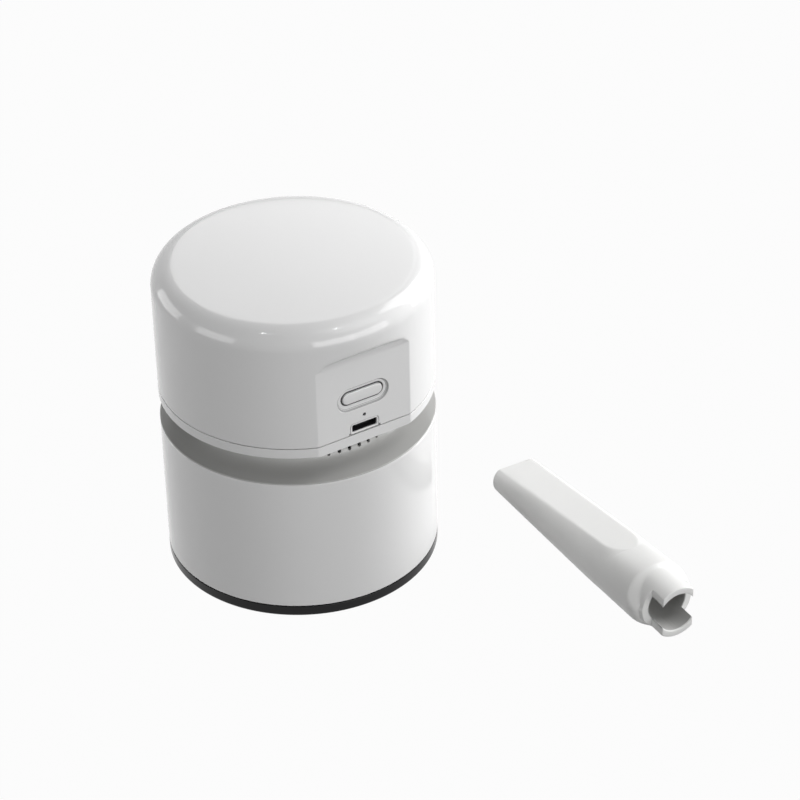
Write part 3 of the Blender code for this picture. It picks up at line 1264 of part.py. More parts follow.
def shoulder_rings():
    """The body's rounded edge, the flat behind it and the start of the tube."""
    rings = []
    for i in range(ARC_STEPS):
        turn = pi / 2 * i / (ARC_STEPS - 1)
        x = NOZZLE_SHOULDER - NOZZLE_SHOULDER_ROUNDING * (1.0 - sin(turn))
        drop = NOZZLE_SHOULDER_SHARE * (1.0 - cos(turn))
        width, height = nozzle_size(x)
        rings.append(oval_ring(x, between(width, NOZZLE_TUBE_RADIUS, drop),
                               between(height, NOZZLE_TUBE_RADIUS, drop), height))
    return rings + [nozzle_tube(NOZZLE_SHOULDER, NOZZLE_TUBE_RADIUS)]


def nozzle_tube(x, radius):
    return oval_ring(x, radius, radius, NOZZLE_TAIL_HALF_HEIGHT)


def crevice_nozzle(material, parent):
    """Flat mouth, tapered body, shoulder and a tube end with two tongues."""
    end = NOZZLE_TAPER_LENGTH
    start = end - NOZZLE_FACET_END
    turns = [pi / 2 * i / ARC_STEPS for i in range(ARC_STEPS + 1)]
    outer = [nozzle_ring(x) for x in (0.0, *[start + NOZZLE_FACET_END * sin(t) for t in turns])]
    outer += shoulder_rings()
    outer.append(nozzle_tube(NOZZLE_LENGTH, NOZZLE_TUBE_RADIUS))
    bore = NOZZLE_TUBE_RADIUS - NOZZLE_TUBE_WALL
    inner = [nozzle_tube(NOZZLE_LENGTH, bore), nozzle_tube(end, bore),
             nozzle_ring(0.0, NOZZLE_MOUTH_WALL)]
    shape = loft(outer + inner, closed=True)
    place = Matrix.Translation(parent.location)
    bmesh.ops.transform(shape, verts=shape.verts, matrix=place)
    nozzle = piece("crevice_nozzle", shape, material, parent)
    reach = 2 * NOZZLE_TAIL_HALF_WIDTH
    gaps = []
    for side in (-1, 1):
        near, far = sorted((side * NOZZLE_TONGUE_WIDTH / 2, side * reach))
        gap = box((NOZZLE_LENGTH - NOZZLE_TONGUE, near, -reach),
                  (NOZZLE_LENGTH + reach, far, 2 * reach))
        bmesh.ops.transform(gap, verts=gap.verts, matrix=place)
        gaps.append(gap)
    cut(nozzle, *gaps)
    return nozzle


def build():
    clear_scene()
    white = finish("white_plastic", (0.82, 0.82, 0.81), 0.18)
    grey = finish("grey_plastic", (0.42, 0.42, 0.41), 0.40)
    satin = finish("satin_white_plastic", (0.80, 0.80, 0.79), 0.42)
    black = finish("black_plastic", (0.012, 0.012, 0.013), 0.28)
    rubber = finish("rubber", (0.03, 0.03, 0.03), 0.70)
    steel = finish("steel", (0.55, 0.55, 0.56), 0.32, 1.0)
    green = finish("board_green", (0.02, 0.16, 0.07), 0.45)
    cloth = finish("filter_paper", (0.75, 0.76, 0.78), 0.85)
    blue = finish("cell_sleeve", (0.05, 0.16, 0.45), 0.35)
    copper = finish("copper", (0.55, 0.25, 0.12), 0.35, 1.0)
    lens = finish("lens", (0.30, 0.32, 0.34), 0.15)
    bristle = finish("bristle", (0.04, 0.04, 0.04), 0.60)

    housing = joint_empty("housing_axis", housing_place())
    base = joint_empty("base_body", parent=housing)
    head = joint_empty("head_body", parent=housing)
    rotor = joint_empty("rotor_body", parent=housing)
    filter_body = joint_empty("filter_body", parent=housing)
    button = joint_empty("button_body", (0.0, -PANEL_DISTANCE, BUTTON_Z), housing)
    plunger = joint_empty("plunger_body", (0.0, -PLUNGER_FRONT, BUTTON_Z), housing)
    nozzle = joint_empty("nozzle_body", (*NOZZLE_PLACE, 0.0), housing)
    nozzle.rotation_euler = (0.0, 0.0, NOZZLE_AZIMUTH)

    base_plate(black, base)
    dust_cup(white, base)
    suction_duct(grey, base)
    for i, angle in enumerate(around(FOOT_COUNT, pi / 6)):
        foot(f"foot_{i + 1}", angle, rubber, base)
    for i, angle in enumerate(around(BASE_SCREW_COUNT, pi / 2)):
        shape = screw(RING_BOTTOM, BASE_SCREW_LENGTH, on_circle(BASE_SCREW_CIRCLE, angle))
        piece(f"base_screw_{i + 1}", shape, steel, base)
    brush("brush_front", -1, bristle, base)
    brush("brush_rear", 1, bristle, base)

    neck_collar(grey, head)
    cup_seal(rubber, head)
    head_plate(white, head)
    top_cap(white, head)
    port_bezel(white, head)
    circuit_board(green, head)
    tact_switch(black, head)
    charging_socket(steel, head)
    status_light(lens, head)
    fan_housing(grey, head)
    motor_gasket(rubber, head)
    motor_can(steel, head)
    motor_endcap(black, head)
    motor_magnet("motor_magnet_left", -1, black, head)
    motor_magnet("motor_magnet_right", 1, black, head)
    battery_cradle(grey, head)
    battery_cell(blue, head)
    for i, angle in enumerate(CAP_BOSS_ANGLES):
        shape = screw(PLATE_BOTTOM, CAP_SCREW_LENGTH, on_circle(CAP_BOSS_CIRCLE, angle))
        piece(f"cap_screw_{i + 1}", shape, steel, head)
    for i, angle in enumerate(around(FAN_BOSS_COUNT)):
        shape = screw(WEB_BOTTOM, FAN_SCREW_LENGTH, on_circle(FAN_BOSS_CIRCLE, angle))
        piece(f"fan_screw_{i + 1}", shape, steel, head)

    red = finish("wire_red", (0.55, 0.03, 0.02), 0.45)
    dark = finish("wire_black", (0.02, 0.02, 0.02), 0.45)
    for side, material, name in ((-1, dark, "black"), (1, red, "red")):
        wire(f"battery_wire_{name}", battery_route(side), material, head)
        wire(f"motor_wire_{name}", motor_route(side), material, head)

    impeller(satin, rotor)
    armature(copper, rotor)
    motor_shaft(steel, rotor)
    filter_cage(satin, filter_body)
    filter_cloth(cloth, filter_body)
    power_button(white, button)
    switch_plunger(black, plunger)
    crevice_nozzle(satin, nozzle)


build()
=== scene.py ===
"""Looks of the desktop mini vacuum cleaner and its crevice nozzle.

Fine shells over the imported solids, their materials, a plain pale floor, soft light and
the camera. Metres, +Z up. Round pieces are turned about the housing's axis.
"""
from math import acos, atan, atan2, cos, pi, radians, sin, sqrt, tan

import bmesh
import bpy
import numpy as np
from mathutils import Matrix, Vector

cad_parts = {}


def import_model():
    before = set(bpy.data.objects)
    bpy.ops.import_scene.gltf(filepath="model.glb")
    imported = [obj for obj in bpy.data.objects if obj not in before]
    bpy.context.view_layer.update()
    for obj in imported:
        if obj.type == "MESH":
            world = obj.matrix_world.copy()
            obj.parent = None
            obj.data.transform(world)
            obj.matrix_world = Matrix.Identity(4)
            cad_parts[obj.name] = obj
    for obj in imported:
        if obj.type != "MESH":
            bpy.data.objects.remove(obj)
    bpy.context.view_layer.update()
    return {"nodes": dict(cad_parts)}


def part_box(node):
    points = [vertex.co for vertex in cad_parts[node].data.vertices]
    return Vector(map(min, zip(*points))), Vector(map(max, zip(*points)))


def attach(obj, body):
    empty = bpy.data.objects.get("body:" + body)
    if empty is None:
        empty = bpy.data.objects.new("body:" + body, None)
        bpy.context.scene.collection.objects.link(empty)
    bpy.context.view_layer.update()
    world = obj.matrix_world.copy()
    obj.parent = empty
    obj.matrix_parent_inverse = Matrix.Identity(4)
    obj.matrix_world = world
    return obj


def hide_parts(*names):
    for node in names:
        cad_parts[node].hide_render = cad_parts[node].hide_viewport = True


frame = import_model()

CUP_LOW, CUP_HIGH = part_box("dust_cup")
AXIS = Vector(((CUP_LOW.x + CUP_HIGH.x) / 2, (CUP_LOW.y + CUP_HIGH.y) / 2, 0.0))
NOZZLE_PLACE = AXIS + Vector((0.0667, -0.0141, 0.0))
NOZZLE_AZIMUTH = radians(-93.07)

MM = 0.001
TURNS, SHARP_ANGLE = 256, radians(38.0)

# The housing's radii and heights, from the base ring up to the cap
BODY, INNER = 0.04, 0.0378
RING_BOTTOM, RING_TOP = 0.0005, 0.0038
CUP_BOTTOM, CUP_TOP, RIM = 0.0041, 0.0463, 0.0464
DUCT_BORE, DUCT_OUTER, DUCT_HOLE = 0.00845, 0.01005, 0.01035
NECK_BORE, NECK_WAIST = 0.029, 0.0308
VENT_Z, VENT_STEP, VENT_COUNT = 0.0517, radians(5.9), 6
PLATE_BOTTOM, PLATE_DECK, PLATE_TOP = 0.0553, 0.0573, 0.0584
SEAM, SEAM_EDGE = 0.0587, 0.00012
CAP_TOP, CAP_CROWN, CAP_EDGE = 0.0963, 0.0008, 0.0064

# The flat panel in the cap's front: distances before the axis, its outline and its edges
PANEL, PANEL_INNER, PANEL_SPLIT = 0.037, 0.035, 0.0389
PANEL_HALF, PANEL_LEDGE, PANEL_CORNER, PANEL_SPAN = 0.0154, 0.08425, 0.003, 0.022
LEDGE_SLOPE, LEDGE_FILLET, LEDGE_BLEND, INNER_LEDGE = 0.86, 0.0048, 0.003, 0.0026
SIDE_FILLET = 0.0004

# What is set into the panel: sizes are (length, height)
BUTTON_X, BUTTON_Z, PINHOLE_Z, PORT_Z = -0.0002, 0.0707, 0.0641, 0.0605
BUTTON_SIZE, OPENING_SIZE, PORT_SIZE = (0.0129, 0.0036), (0.0139, 0.0046), (0.008, 0.00225)
BUTTON_SUNK, RECESS_DEPTH, RECESS_DROP = 0.0002, 0.0006, 0.0003
RECESS_BORDER = 0.0015
RECESS_REACH = RECESS_BORDER + 0.00012
BEZEL_HALF, BEZEL_TOP, BEZEL_CORNER = 0.0046, 0.062075, 0.001

# Circles that the screws stand on, and the cap screws' places on theirs
SCREW_CIRCLE, CAP_SCREW_CIRCLE, FAN_SCREW_CIRCLE = 0.031, 0.0342, 0.0243
CAP_SCREW_ANGLES = [radians(a) for a in (35.0, 145.0, 215.0, 325.0)]


# ---- outlines and forms

def rounded(corners, closed=True, steps=5):
    """An outline of (across, up, radius) corners, each rounded, with its flats held."""
    path = []
    count = len(corners)
    for i, (across, up, radius) in enumerate(corners):
        here = Vector((across, up))
        if radius == 0.0 or (not closed and i in (0, count - 1)):
            path.append(here)
            continue
        before = Vector(corners[i - 1][:2]) - here
        after = Vector(corners[(i + 1) % count][:2]) - here
        half = before.angle(after) / 2
        reach = min(radius / tan(half), 0.4 * before.length, 0.4 * after.length)
        before.normalize()
        after.normalize()
        middle = here + (before + after).normalized() * reach / cos(half)
        start = here + before * reach - middle
        first = atan2(start.y, start.x)
        end = here + after * reach - middle
        sweep = (atan2(end.y, end.x) - first + pi) % (2 * pi) - pi
        path.append(here + before * reach * 1.3)
        for k in range(steps + 1):
            turn = first + sweep * k / steps
            path.append(middle + start.length * Vector((cos(turn), sin(turn))))
        path.append(here + after * reach * 1.3)
    return [(p.x, p.y) for p in path]


def skin(rows, closed):
    """Faces between rows of equally many point numbers, each row a loop."""
    spans = list(zip(rows, rows[1:]))
    if closed:
        spans.append((rows[-1], rows[0]))
    faces = []
    for low, high in spans:
        for i in range(len(low)):
            j = (i + 1) % len(low)
            face = list(dict.fromkeys((low[i], low[j], high[j], high[i])))
            if len(face) > 2:
                faces.append(face)
    return faces


def mix(start, end, share):
    return start + (end - start) * share


def clamp(value, low=0.0, high=1.0):
    return min(max(value, low), high)


def eased(t):
    """0 to 1 with a soft start and a soft end."""
    return t * t * (3.0 - 2.0 * t)


def from_axis(node):
    """The lowest and highest corners of a node, seen from the housing's axis."""
    return [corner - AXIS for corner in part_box(node)]


def around(count, start=0.0):
    return [start + 2 * pi * i / count for i in range(count)]


def on_circle(radius, angle):
    return radius * cos(angle), radius * sin(angle)


def disc(radius, count):
    """Outline of a circle about the origin."""
    return [on_circle(radius, a) for a in around(count)]


def turned(profile, angles=None, centre=(0.0, 0.0)):
    """(Radius, height) points turned about an upright axis, closed if they start off it."""
    angles = around(TURNS) if angles is None else angles
    points, rows = [], []
    for radius, height in profile:
        start = len(points)
        if radius == 0.0:
            points.append((centre[0], centre[1], height))
            rows.append([start] * len(angles))
        else:
            points += [(centre[0] + radius * cos(a), centre[1] + radius * sin(a), height)
                       for a in angles]
            rows.append(list(range(start, start + len(angles))))
    return points, skin(rows, profile[0][0] > 0.0)


def lofted(rings, closed=False):
    """Rings of equally many points joined, with end faces or back to the first ring."""
    points, rows = [], []
    for ring in rings:
        rows.append(list(range(len(points), len(points) + len(ring))))
        points += [tuple(p) for p in ring]
    faces = skin(rows, closed)
    if not closed:
        faces += [rows[0][::-1], rows[-1]]
    return points, faces


def merged(*forms):
    points, faces = [], []
    for some, more in forms:
        shift = len(points)
        points += list(some)
        faces += [[i + shift for i in face] for face in more]
    return points, faces


def block(low, high):
    """A box between two corners."""
    x, y, z = zip(low, high)
    return lofted([[(x[0], y[0], h), (x[1], y[0], h), (x[1], y[1], h), (x[0], y[1], h)]
                   for h in z])


def pill(length, height, steps=20):
    """Outline of a bar with half-round ends, about the origin."""
    reach = (length - height) / 2
    right = [-pi / 2 + pi * i / steps for i in range(steps + 1)]
    return ([(reach + height / 2 * cos(a), height / 2 * sin(a)) for a in right]
            + [(-reach - height / 2 * cos(a), -height / 2 * sin(a)) for a in right])


def frame_outline(half, low, high, low_corner, high_corner, steps=8):
    """A rectangle with its own corner radius below and above, from its lower right."""
    outline = []
    for quarter, (side, z, corner) in enumerate(
            ((1, low, low_corner), (1, high, high_corner), (-1, high, high_corner),
             (-1, low, low_corner))):
        middle = (side * (half - corner), z + (corner if z == low else -corner))
        for i in range(steps + 1):
            turn = (quarter - 1 + i / steps) * pi / 2
            outline.append((middle[0] + corner * cos(turn), middle[1] + corner * sin(turn)))
    return outline


def facing(outline, distance, z, side=0.0):
    """An outline as it lies at a distance in front of the axis, centred on height z."""
    return [(side + x, -distance, z + y) for x, y in outline]


def bezier(a, b, c, d, steps):
    """Points of a cubic curve from a to d."""
    path = []
    for i in range(steps + 1):
        t = i / steps
        weights = ((1 - t) ** 3, 3 * t * (1 - t) ** 2, 3 * t * t * (1 - t), t ** 3)
        path.append(tuple(sum(w * p[k] for w, p in zip(weights, (a, b, c, d)))
                          for k in range(2)))
    return path


def moved(form, matrix):
    return [tuple(matrix @ Vector(p)) for p in form[0]], form[1]


def boss(radius, low, high, centre):
    """A hollow screw boss standing between two heights."""
    outline = rounded([
        (0.0014, low, 0.0002), (radius, low, 0.0003), (radius, high, 0.0),
        (0.0014, high, 0.0)], steps=2)
    return turned(outline, around(32), centre)


def screw_seat(face, centre, depth=0.0012):
    """Cutter for a screw's head, sunk in a downward face, and for its shank."""
    profile = [(0.0, face - 0.0003), (0.0027, face - 0.0003), (0.0027, face + 0.0012),
               (0.0014, face + 0.0012), (0.0014, face + depth + 0.0012),
               (0.0, face + depth + 0.0012)]
    return turned(profile, around(36), centre)


# ---- making the pieces

def as_mesh(name, form):
    """A form as a mesh whose faces look outward."""
    mesh = bpy.data.meshes.new(name)
    mesh.from_pydata([tuple(p) for p in form[0]], [], form[1])
    shape = bmesh.new()
    shape.from_mesh(mesh)
    bmesh.ops.recalc_face_normals(shape, faces=shape.faces)
    shape.to_mesh(mesh)
    shape.free()
    return mesh


def placed(name, mesh):
    made = bpy.data.objects.new(name, mesh)
    bpy.context.scene.collection.objects.link(made)
    return made


def applied(obj, *others):
    """The object with its modifiers worked into its mesh, and the helpers removed."""
    graph = bpy.context.evaluated_depsgraph_get()
    mesh = bpy.data.meshes.new_from_object(obj.evaluated_get(graph))
    obj.modifiers.clear()
    obj.data = mesh
    for other in others:
        bpy.data.objects.remove(other, do_unlink=True)


def base_name(material):
    return material.name.split(".")[0]


def piece(name, form, material, body, node=None, cuts=(), bevel=0.0, place=None):
    """One visible piece: its form, less the cuts, at the housing's axis or a place."""
    obj = placed(name, as_mesh(name, form))
    if cuts:
        cutter = placed(name + "_cut", as_mesh(name + "_cut", merged(*cuts)))
        modifier = obj.modifiers.new("cut", "BOOLEAN")
        modifier.operation, modifier.solver, modifier.object = "DIFFERENCE", "EXACT", cutter
        applied(obj, cutter)
    if bevel:
        modifier = obj.modifiers.new("bevel", "BEVEL")
        modifier.width, modifier.segments = bevel, 2
        modifier.limit_method, modifier.angle_limit = "ANGLE", radians(50.0)
        applied(obj)
    obj.data.transform(place or Matrix.Translation(AXIS))
    obj.data.shade_smooth()
    obj.data.set_sharp_from_angle(angle=SHARP_ANGLE)
    obj.data.materials.clear()
    obj.data.materials.append(material)
    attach(obj, body)
    if node:
        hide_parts(node)


# ---- materials

class Nodes:
    """Short ways to add nodes to one material."""

    def __init__(self, name):
        self.made = bpy.data.materials.new(name)
        self.made.use_nodes = True
        self.tree = self.made.node_tree
        self.shader = self.tree.nodes["Principled BSDF"]
        self.place = self.add("ShaderNodeTexCoord").outputs["Object"]

    def add(self, kind, **settings):
        node = self.tree.nodes.new(kind)
        for key, value in settings.items():
            setattr(node, key, value)
        return node

    def fill(self, node, **values):
        """Sets the node's sockets, or links them where the value is another's output."""
        for key, value in values.items():
            socket = node.inputs[key.replace("_", " ")]
            if isinstance(value, bpy.types.NodeSocket):
                self.tree.links.new(value, socket)
            else:
                socket.default_value = value

    def noise(self, scale, detail=2.0, stretch=None, roughness=0.5):
        place = self.place
        if stretch:
            mapping = self.add("ShaderNodeMapping")
            self.fill(mapping, Scale=stretch, Vector=place)
            place = mapping.outputs["Vector"]
        node = self.add("ShaderNodeTexNoise")
        self.fill(node, Scale=scale, Detail=detail, Roughness=roughness, Vector=place)
        return node.outputs["Fac"]

    def spread(self, source, low, high, start=0.3, end=0.7):
        """A value from low to high as the source goes from start to end."""
        node = self.add("ShaderNodeMapRange")
        self.fill(node, From_Min=start, From_Max=end, To_Min=low, To_Max=high, Value=source)
        return node.outputs["Result"]

    def blend(self, factor, first, second):
        node = self.add("ShaderNodeMix", data_type="RGBA")
        for key, value in (("A", first), ("B", second)):
            socket = [s for s in node.inputs if s.name == key and s.type == "RGBA"][0]
            if isinstance(value, tuple):
                socket.default_value = (*value, 1.0)
            else:
                self.tree.links.new(value, socket)
        self.fill(node, Factor=factor)
        return [s for s in node.outputs if s.type == "RGBA"][0]

    def bump(self, source, strength, depth, before=None):
        node = self.add("ShaderNodeBump")
        self.fill(node, Strength=strength, Distance=depth, Height=source)
        if before:
            self.fill(node, Normal=before)
        return node.outputs["Normal"]

    def set(self, **values):
        """Fills the shader's sockets and hands the material over."""
        self.fill(self.shader, **values)
        return self.made


def plastic(name, colour, roughness, variation=0.02, grain=0.0, orange=0.0, scuff=0.03,
            shine=0.5):
    """Moulded plastic: slow drift of tone, faint flow, fine grain and light scuffs."""
    n = Nodes(name)
    drift = n.noise(28.0, 3.0)
    dark = tuple(c * (1.0 - variation) for c in colour)
    light = tuple(min(1.0, c * (1.0 + variation)) for c in colour)
    tone = n.blend(n.spread(drift, 0.0, 1.0), dark, light)
    rub = n.noise(240.0, 4.0, stretch=(1.0, 1.0, 0.12), roughness=0.65)
    rough = n.spread(rub, roughness - scuff, roughness + scuff)
    normal = None
    if orange:
        normal = n.bump(n.noise(420.0, 2.0), orange, 0.00002)
    if grain:
        normal = n.bump(n.noise(5200.0, 3.0, roughness=0.7), grain, 0.00003, normal)
    if normal:
        n.set(Normal=normal)
    return n.set(Base_Color=tone, Roughness=rough, Specular_IOR_Level=shine)


def metal(name, colour, roughness, stretch):
    """Drawn or turned metal with fine lines and patches of duller skin."""
    n = Nodes(name)
    lines = n.noise(900.0, 3.0, stretch=stretch, roughness=0.7)
    patch = n.noise(160.0, 4.0)
    tone = n.blend(n.spread(patch, 0.0, 1.0), tuple(c * 0.86 for c in colour), colour)
    rough = n.spread(lines, roughness - 0.09, roughness + 0.12)
    return n.set(Base_Color=tone, Roughness=rough, Metallic=1.0,
                 Normal=n.bump(lines, 0.25, 0.00002))


def rubber(name, colour):
    """Matt rubber with a little pale dust on it."""
    n = Nodes(name)
    dust = n.noise(310.0, 5.0, roughness=0.7)
    tone = n.blend(n.spread(dust, 0.0, 0.35, 0.45, 0.8), colour, (0.16, 0.155, 0.15))
    return n.set(Base_Color=tone, Roughness=n.spread(dust, 0.62, 0.82),
                 Normal=n.bump(n.noise(3800.0, 3.0), 0.35, 0.00003))


def board():
    """Green lacquer over copper tracks, with tinned pads."""
    n = Nodes("board_green")
    cells = n.add("ShaderNodeTexVoronoi", feature="DISTANCE_TO_EDGE")
    n.fill(cells, Scale=620.0, Vector=n.place)
    track = n.spread(cells.outputs["Distance"], 1.0, 0.0, 0.05, 0.09)
    lacquer = n.blend(n.spread(n.noise(90.0), 0.0, 1.0), (0.01, 0.12, 0.05),
                      (0.016, 0.16, 0.07))
    tone = n.blend(track, lacquer, (0.04, 0.26, 0.1))
    return n.set(Base_Color=tone, Roughness=n.spread(n.noise(300.0), 0.3, 0.44),
                 Normal=n.bump(track, 0.4, 0.00003))


def filter_paper():
    """Pleated non-woven: matted fibres with a little grey dust in them."""
    n = Nodes("filter_paper")
    fibre = n.noise(2600.0, 5.0, stretch=(1.0, 1.0, 0.25), roughness=0.75)
    dust = n.noise(120.0, 4.0)
    tone = n.blend(n.spread(fibre, 0.0, 1.0), (0.6, 0.61, 0.62), (0.8, 0.8, 0.79))
    tone = n.blend(n.spread(dust, 0.0, 0.25, 0.5, 0.85), tone, (0.42, 0.4, 0.37))
    return n.set(Base_Color=tone, Roughness=n.spread(fibre, 0.85, 0.97), Sheen_Weight=0.3,
                 Normal=n.bump(fibre, 0.8, 0.00008))


def windings():
    """Enamelled copper wound round the rotor in fine turns."""
    n = Nodes("copper")
    wave = n.add("ShaderNodeTexWave", wave_type="BANDS", bands_direction="Z")
    n.fill(wave, Scale=900.0, Distortion=1.5, Vector=n.place)
    tone = n.blend(wave.outputs["Fac"], (0.28, 0.1, 0.04), (0.62, 0.3, 0.14))
    return n.set(Base_Color=tone, Metallic=0.85, Roughness=n.spread(n.noise(400.0), 0.28, 0.4),
                 Normal=n.bump(wave.outputs["Fac"], 0.5, 0.00005))


WHITE = plastic("white_plastic", (0.8, 0.8, 0.8), 0.1, 0.006, orange=0.05, scuff=0.02)
# Mid grey; on the neck it is in part painted shade under the plate's overhang
GREY_AND_NECK_SHADE = plastic("grey_plastic", (0.45, 0.45, 0.44), 0.3, 0.008, grain=0.05, scuff=0.01)
SATIN = plastic("satin_white_plastic", (0.78, 0.78, 0.77), 0.36, 0.008, grain=0.08)
BLACK_GLOSS = plastic("black_gloss_plastic", (0.008, 0.008, 0.009), 0.12, 0.1, orange=0.05,
                      shine=0.2)
BLACK = plastic("black_plastic", (0.014, 0.014, 0.015), 0.4, 0.15, grain=0.15)
RUBBER = rubber("rubber", (0.026, 0.026, 0.027))
STEEL = metal("steel", (0.56, 0.56, 0.57), 0.3, (1.0, 1.0, 0.05))
BOARD = board()
PAPER = filter_paper()
SLEEVE = plastic("cell_sleeve", (0.03, 0.11, 0.36), 0.28, 0.1, orange=0.3)
COPPER = windings()
LENS = plastic("lens", (0.02, 0.021, 0.024), 0.16, 0.05)
GAUZE = plastic("vent_gauze", (0.007, 0.007, 0.007), 0.8, 0.2, grain=0.4, shine=0.15)
# Near black for the socket: in part painted shade inside the port
SOCKET_AND_PORT_SHADE = plastic("socket_port_shade", (0.01, 0.01, 0.011), 0.46, 0.1, grain=0.1, shine=0.25)
# Mid grey for the button recess's sloped border: painted shade of the sunk border
RECESS_SHADE = plastic("recess_painted_shade", (0.34, 0.34, 0.34), 0.34, 0.02, grain=0.1, shine=0.35)
# Darker grey for the sleeve in the nozzle's bore: painted shade inside the tube
BORE_SHADE = plastic("nozzle_bore_shade", (0.46, 0.46, 0.45), 0.5, 0.03, grain=0.1, shine=0.3)
BRISTLE = plastic("bristle", (0.035, 0.035, 0.036), 0.55, 0.25)
WIRE_RED = plastic("wire_red", (0.5, 0.02, 0.015), 0.38, 0.08)
WIRE_BLACK = plastic("wire_black", (0.018, 0.018, 0.018), 0.42, 0.1)
BY_SLOT = {base_name(finish): finish for finish in (
    WHITE, GREY_AND_NECK_SHADE, SATIN, BLACK, RUBBER, STEEL, BOARD, PAPER, SLEEVE, COPPER, LENS, BRISTLE,
    WIRE_RED, WIRE_BLACK)}


def dress_nodes():
    """Every CAD node that stays gets its slot's procedural material."""
    for obj in frame["nodes"].values():
        for place in obj.material_slots:
            known = base_name(place.material) if place.material else ""
            place.material = BY_SLOT.get(known, BLACK)


# ---- the cap and its panel

def soft_max(a, b, width):
    """The larger of two values, rounded where they cross."""
    return (a + b + np.sqrt((a - b) ** 2 + width ** 2)) / 2


def panel_columns():
    """Angles round the axis, close together where the panel meets the round wall."""
    steps, turn = [0.0], 0.0
    while turn < 178.0:
        if turn < 20.8 or 24.2 < turn < 27.5:
            turn += 0.4
        elif turn < 24.2:
            turn += 0.14
        else:
            turn += 1.6
        steps.append(turn)
    return [radians(t - 90.0) for t in [-s for s in steps[:0:-1]] + steps]


def panel_depth(x, z, distance, ledge=0.0):
    """How far in front of the axis the recess lies at a place on the panel."""
    across = np.abs(x) - (PANEL_HALF - PANEL_CORNER)
    up = z - (PANEL_LEDGE + ledge - PANEL_CORNER)
    outside = (np.hypot(np.maximum(across, 0.0), np.maximum(up, 0.0))
               + np.minimum(np.maximum(across, up), 0.0) - PANEL_CORNER)
    share = np.clip(0.5 + (up - across) / LEDGE_BLEND, 0.0, 1.0)
    fillet = SIDE_FILLET + (LEDGE_FILLET - SIDE_FILLET) * eased(share)
    lean = atan(1.0 / LEDGE_SLOPE)
    reach = fillet * tan(lean / 2)
    past = np.clip(outside + reach, 0.0, fillet)
    curved = fillet - np.sqrt(fillet ** 2 - past ** 2)
    straight = outside / LEDGE_SLOPE
    return distance + np.where(outside < reach * cos(lean), curved, straight)


def with_panel(form):
    """The form with its wall pushed back to the panel's plane at the front."""
    points = np.array(form[0])
    x, y, z = points.T
    outer = np.hypot(x, y) > PANEL_SPLIT
    front = (y < 0.0) & (np.abs(x) < PANEL_SPAN)
    for wall, distance, ledge in ((outer, PANEL, 0.0), (~outer, PANEL_INNER, INNER_LEDGE)):
        some = front & wall
        depth = panel_depth(x[some], z[some], distance, ledge)
        foot = PANEL_LEDGE + ledge - LEDGE_BLEND
        rise = np.clip((z[some] - foot) / LEDGE_BLEND, 0.0, 1.0)
        middle = 1.0 - np.clip(np.abs(x[some]) / 0.015, 0.0, 1.0) ** 4
        points[some, 1] = soft_max(y[some], -depth, 0.00008 + 0.00036 * rise * middle)
    return points, form[1]


def cap_wall(shrink, crown_steps, edge_steps):
    """Half outline of the cap from its axis over the crown and the rounded edge."""
    flat = BODY - CAP_EDGE
    edge = CAP_EDGE - shrink
    tilt = 2 * CAP_CROWN / flat
    reach = flat + edge * sin(tilt)
    path = []
    for i in range(crown_steps):
        radius = reach * (i / crown_steps) ** 0.8
        path.append((radius, CAP_TOP - shrink + CAP_CROWN * (1.0 - (radius / flat) ** 2)))
    for i in range(edge_steps + 1):
        turn = pi / 2 - tilt + (tilt - pi / 2) * i / edge_steps
        path.append((flat + edge * cos(turn), CAP_TOP - CAP_EDGE + edge * sin(turn)))
    return path


def through_panel(outline, z, side=0.0):
    """Cutter of that outline through the cap's front wall."""
    return lofted([facing(outline, d, z, side) for d in (0.033, 0.042)])


def top_cap():
    """Shell with the panel and its openings, and what is moulded onto its inside."""
    outer = cap_wall(0.0, 18, 22)
    heights = [0.089, 0.0882, 0.0877, *np.arange(0.0873, 0.0802, -0.00012)]
    heights += [0.0797, 0.0788, 0.0776, 0.076, 0.073, 0.07, 0.067, 0.064, 0.0615, 0.0598,
                0.0591]
    outer += [(BODY, z) for z in heights]
    outer += rounded([
        (BODY, 0.06, 0.0), (BODY, SEAM, SEAM_EDGE), (INNER, SEAM, SEAM_EDGE),
        (INNER, 0.06, 0.0)], closed=False, steps=3)[1:-1]
    inner = cap_wall(BODY - INNER, 6, 8)
    inner += [(INNER, z) for z in (0.0895, 0.0888, 0.088, 0.087, 0.086, 0.085, 0.07)]
    shell = with_panel(turned(outer + inner[::-1], panel_columns()))
    well = pill(*[size + 2 * RECESS_REACH for size in OPENING_SIZE])
    holes = [through_panel(well, BUTTON_Z - RECESS_DROP, BUTTON_X),
             through_panel(disc(0.00055, 28), PINHOLE_Z), through_panel(port_hole(), 0.0)]
    piece("cap_shell", shell, WHITE, "head", "top_cap", cuts=holes)
    bosses = [boss(0.0028, 0.0576, 0.0945, on_circle(CAP_SCREW_CIRCLE, a))
              for a in CAP_SCREW_ANGLES]
    piece("collar_ring", merged(button_recess(), *bosses), WHITE, "head")


def recess_ring(outline):
    """A ring round the button's opening, from (outward, up) points of its section."""
    length, height = OPENING_SIZE
    return lofted([facing(pill(length + 2 * out, height + 2 * out), PANEL + up,
                          BUTTON_Z - RECESS_DROP * clamp(out / RECESS_REACH),
                          BUTTON_X) for out, up in outline], closed=True)


def button_recess():
    """The shallow seat round the button: its floor, its sloped border and the opening."""
    floor, edge = -RECESS_DEPTH, RECESS_BORDER
    return recess_ring(rounded(
        [(0.0, -0.0019, 0.0), (0.0, floor, 0.00012), (edge - 0.00066, floor, 0.00012),
         (edge, -0.00003, 0.0), (edge + 0.00003, 0.0, 0.0), (edge + 0.00012, 0.0, 0.0),
         (0.0019, -0.0005, 0.0), (0.0012, -0.0012, 0.0), (0.0005, -0.0019, 0.0)],
        steps=6))


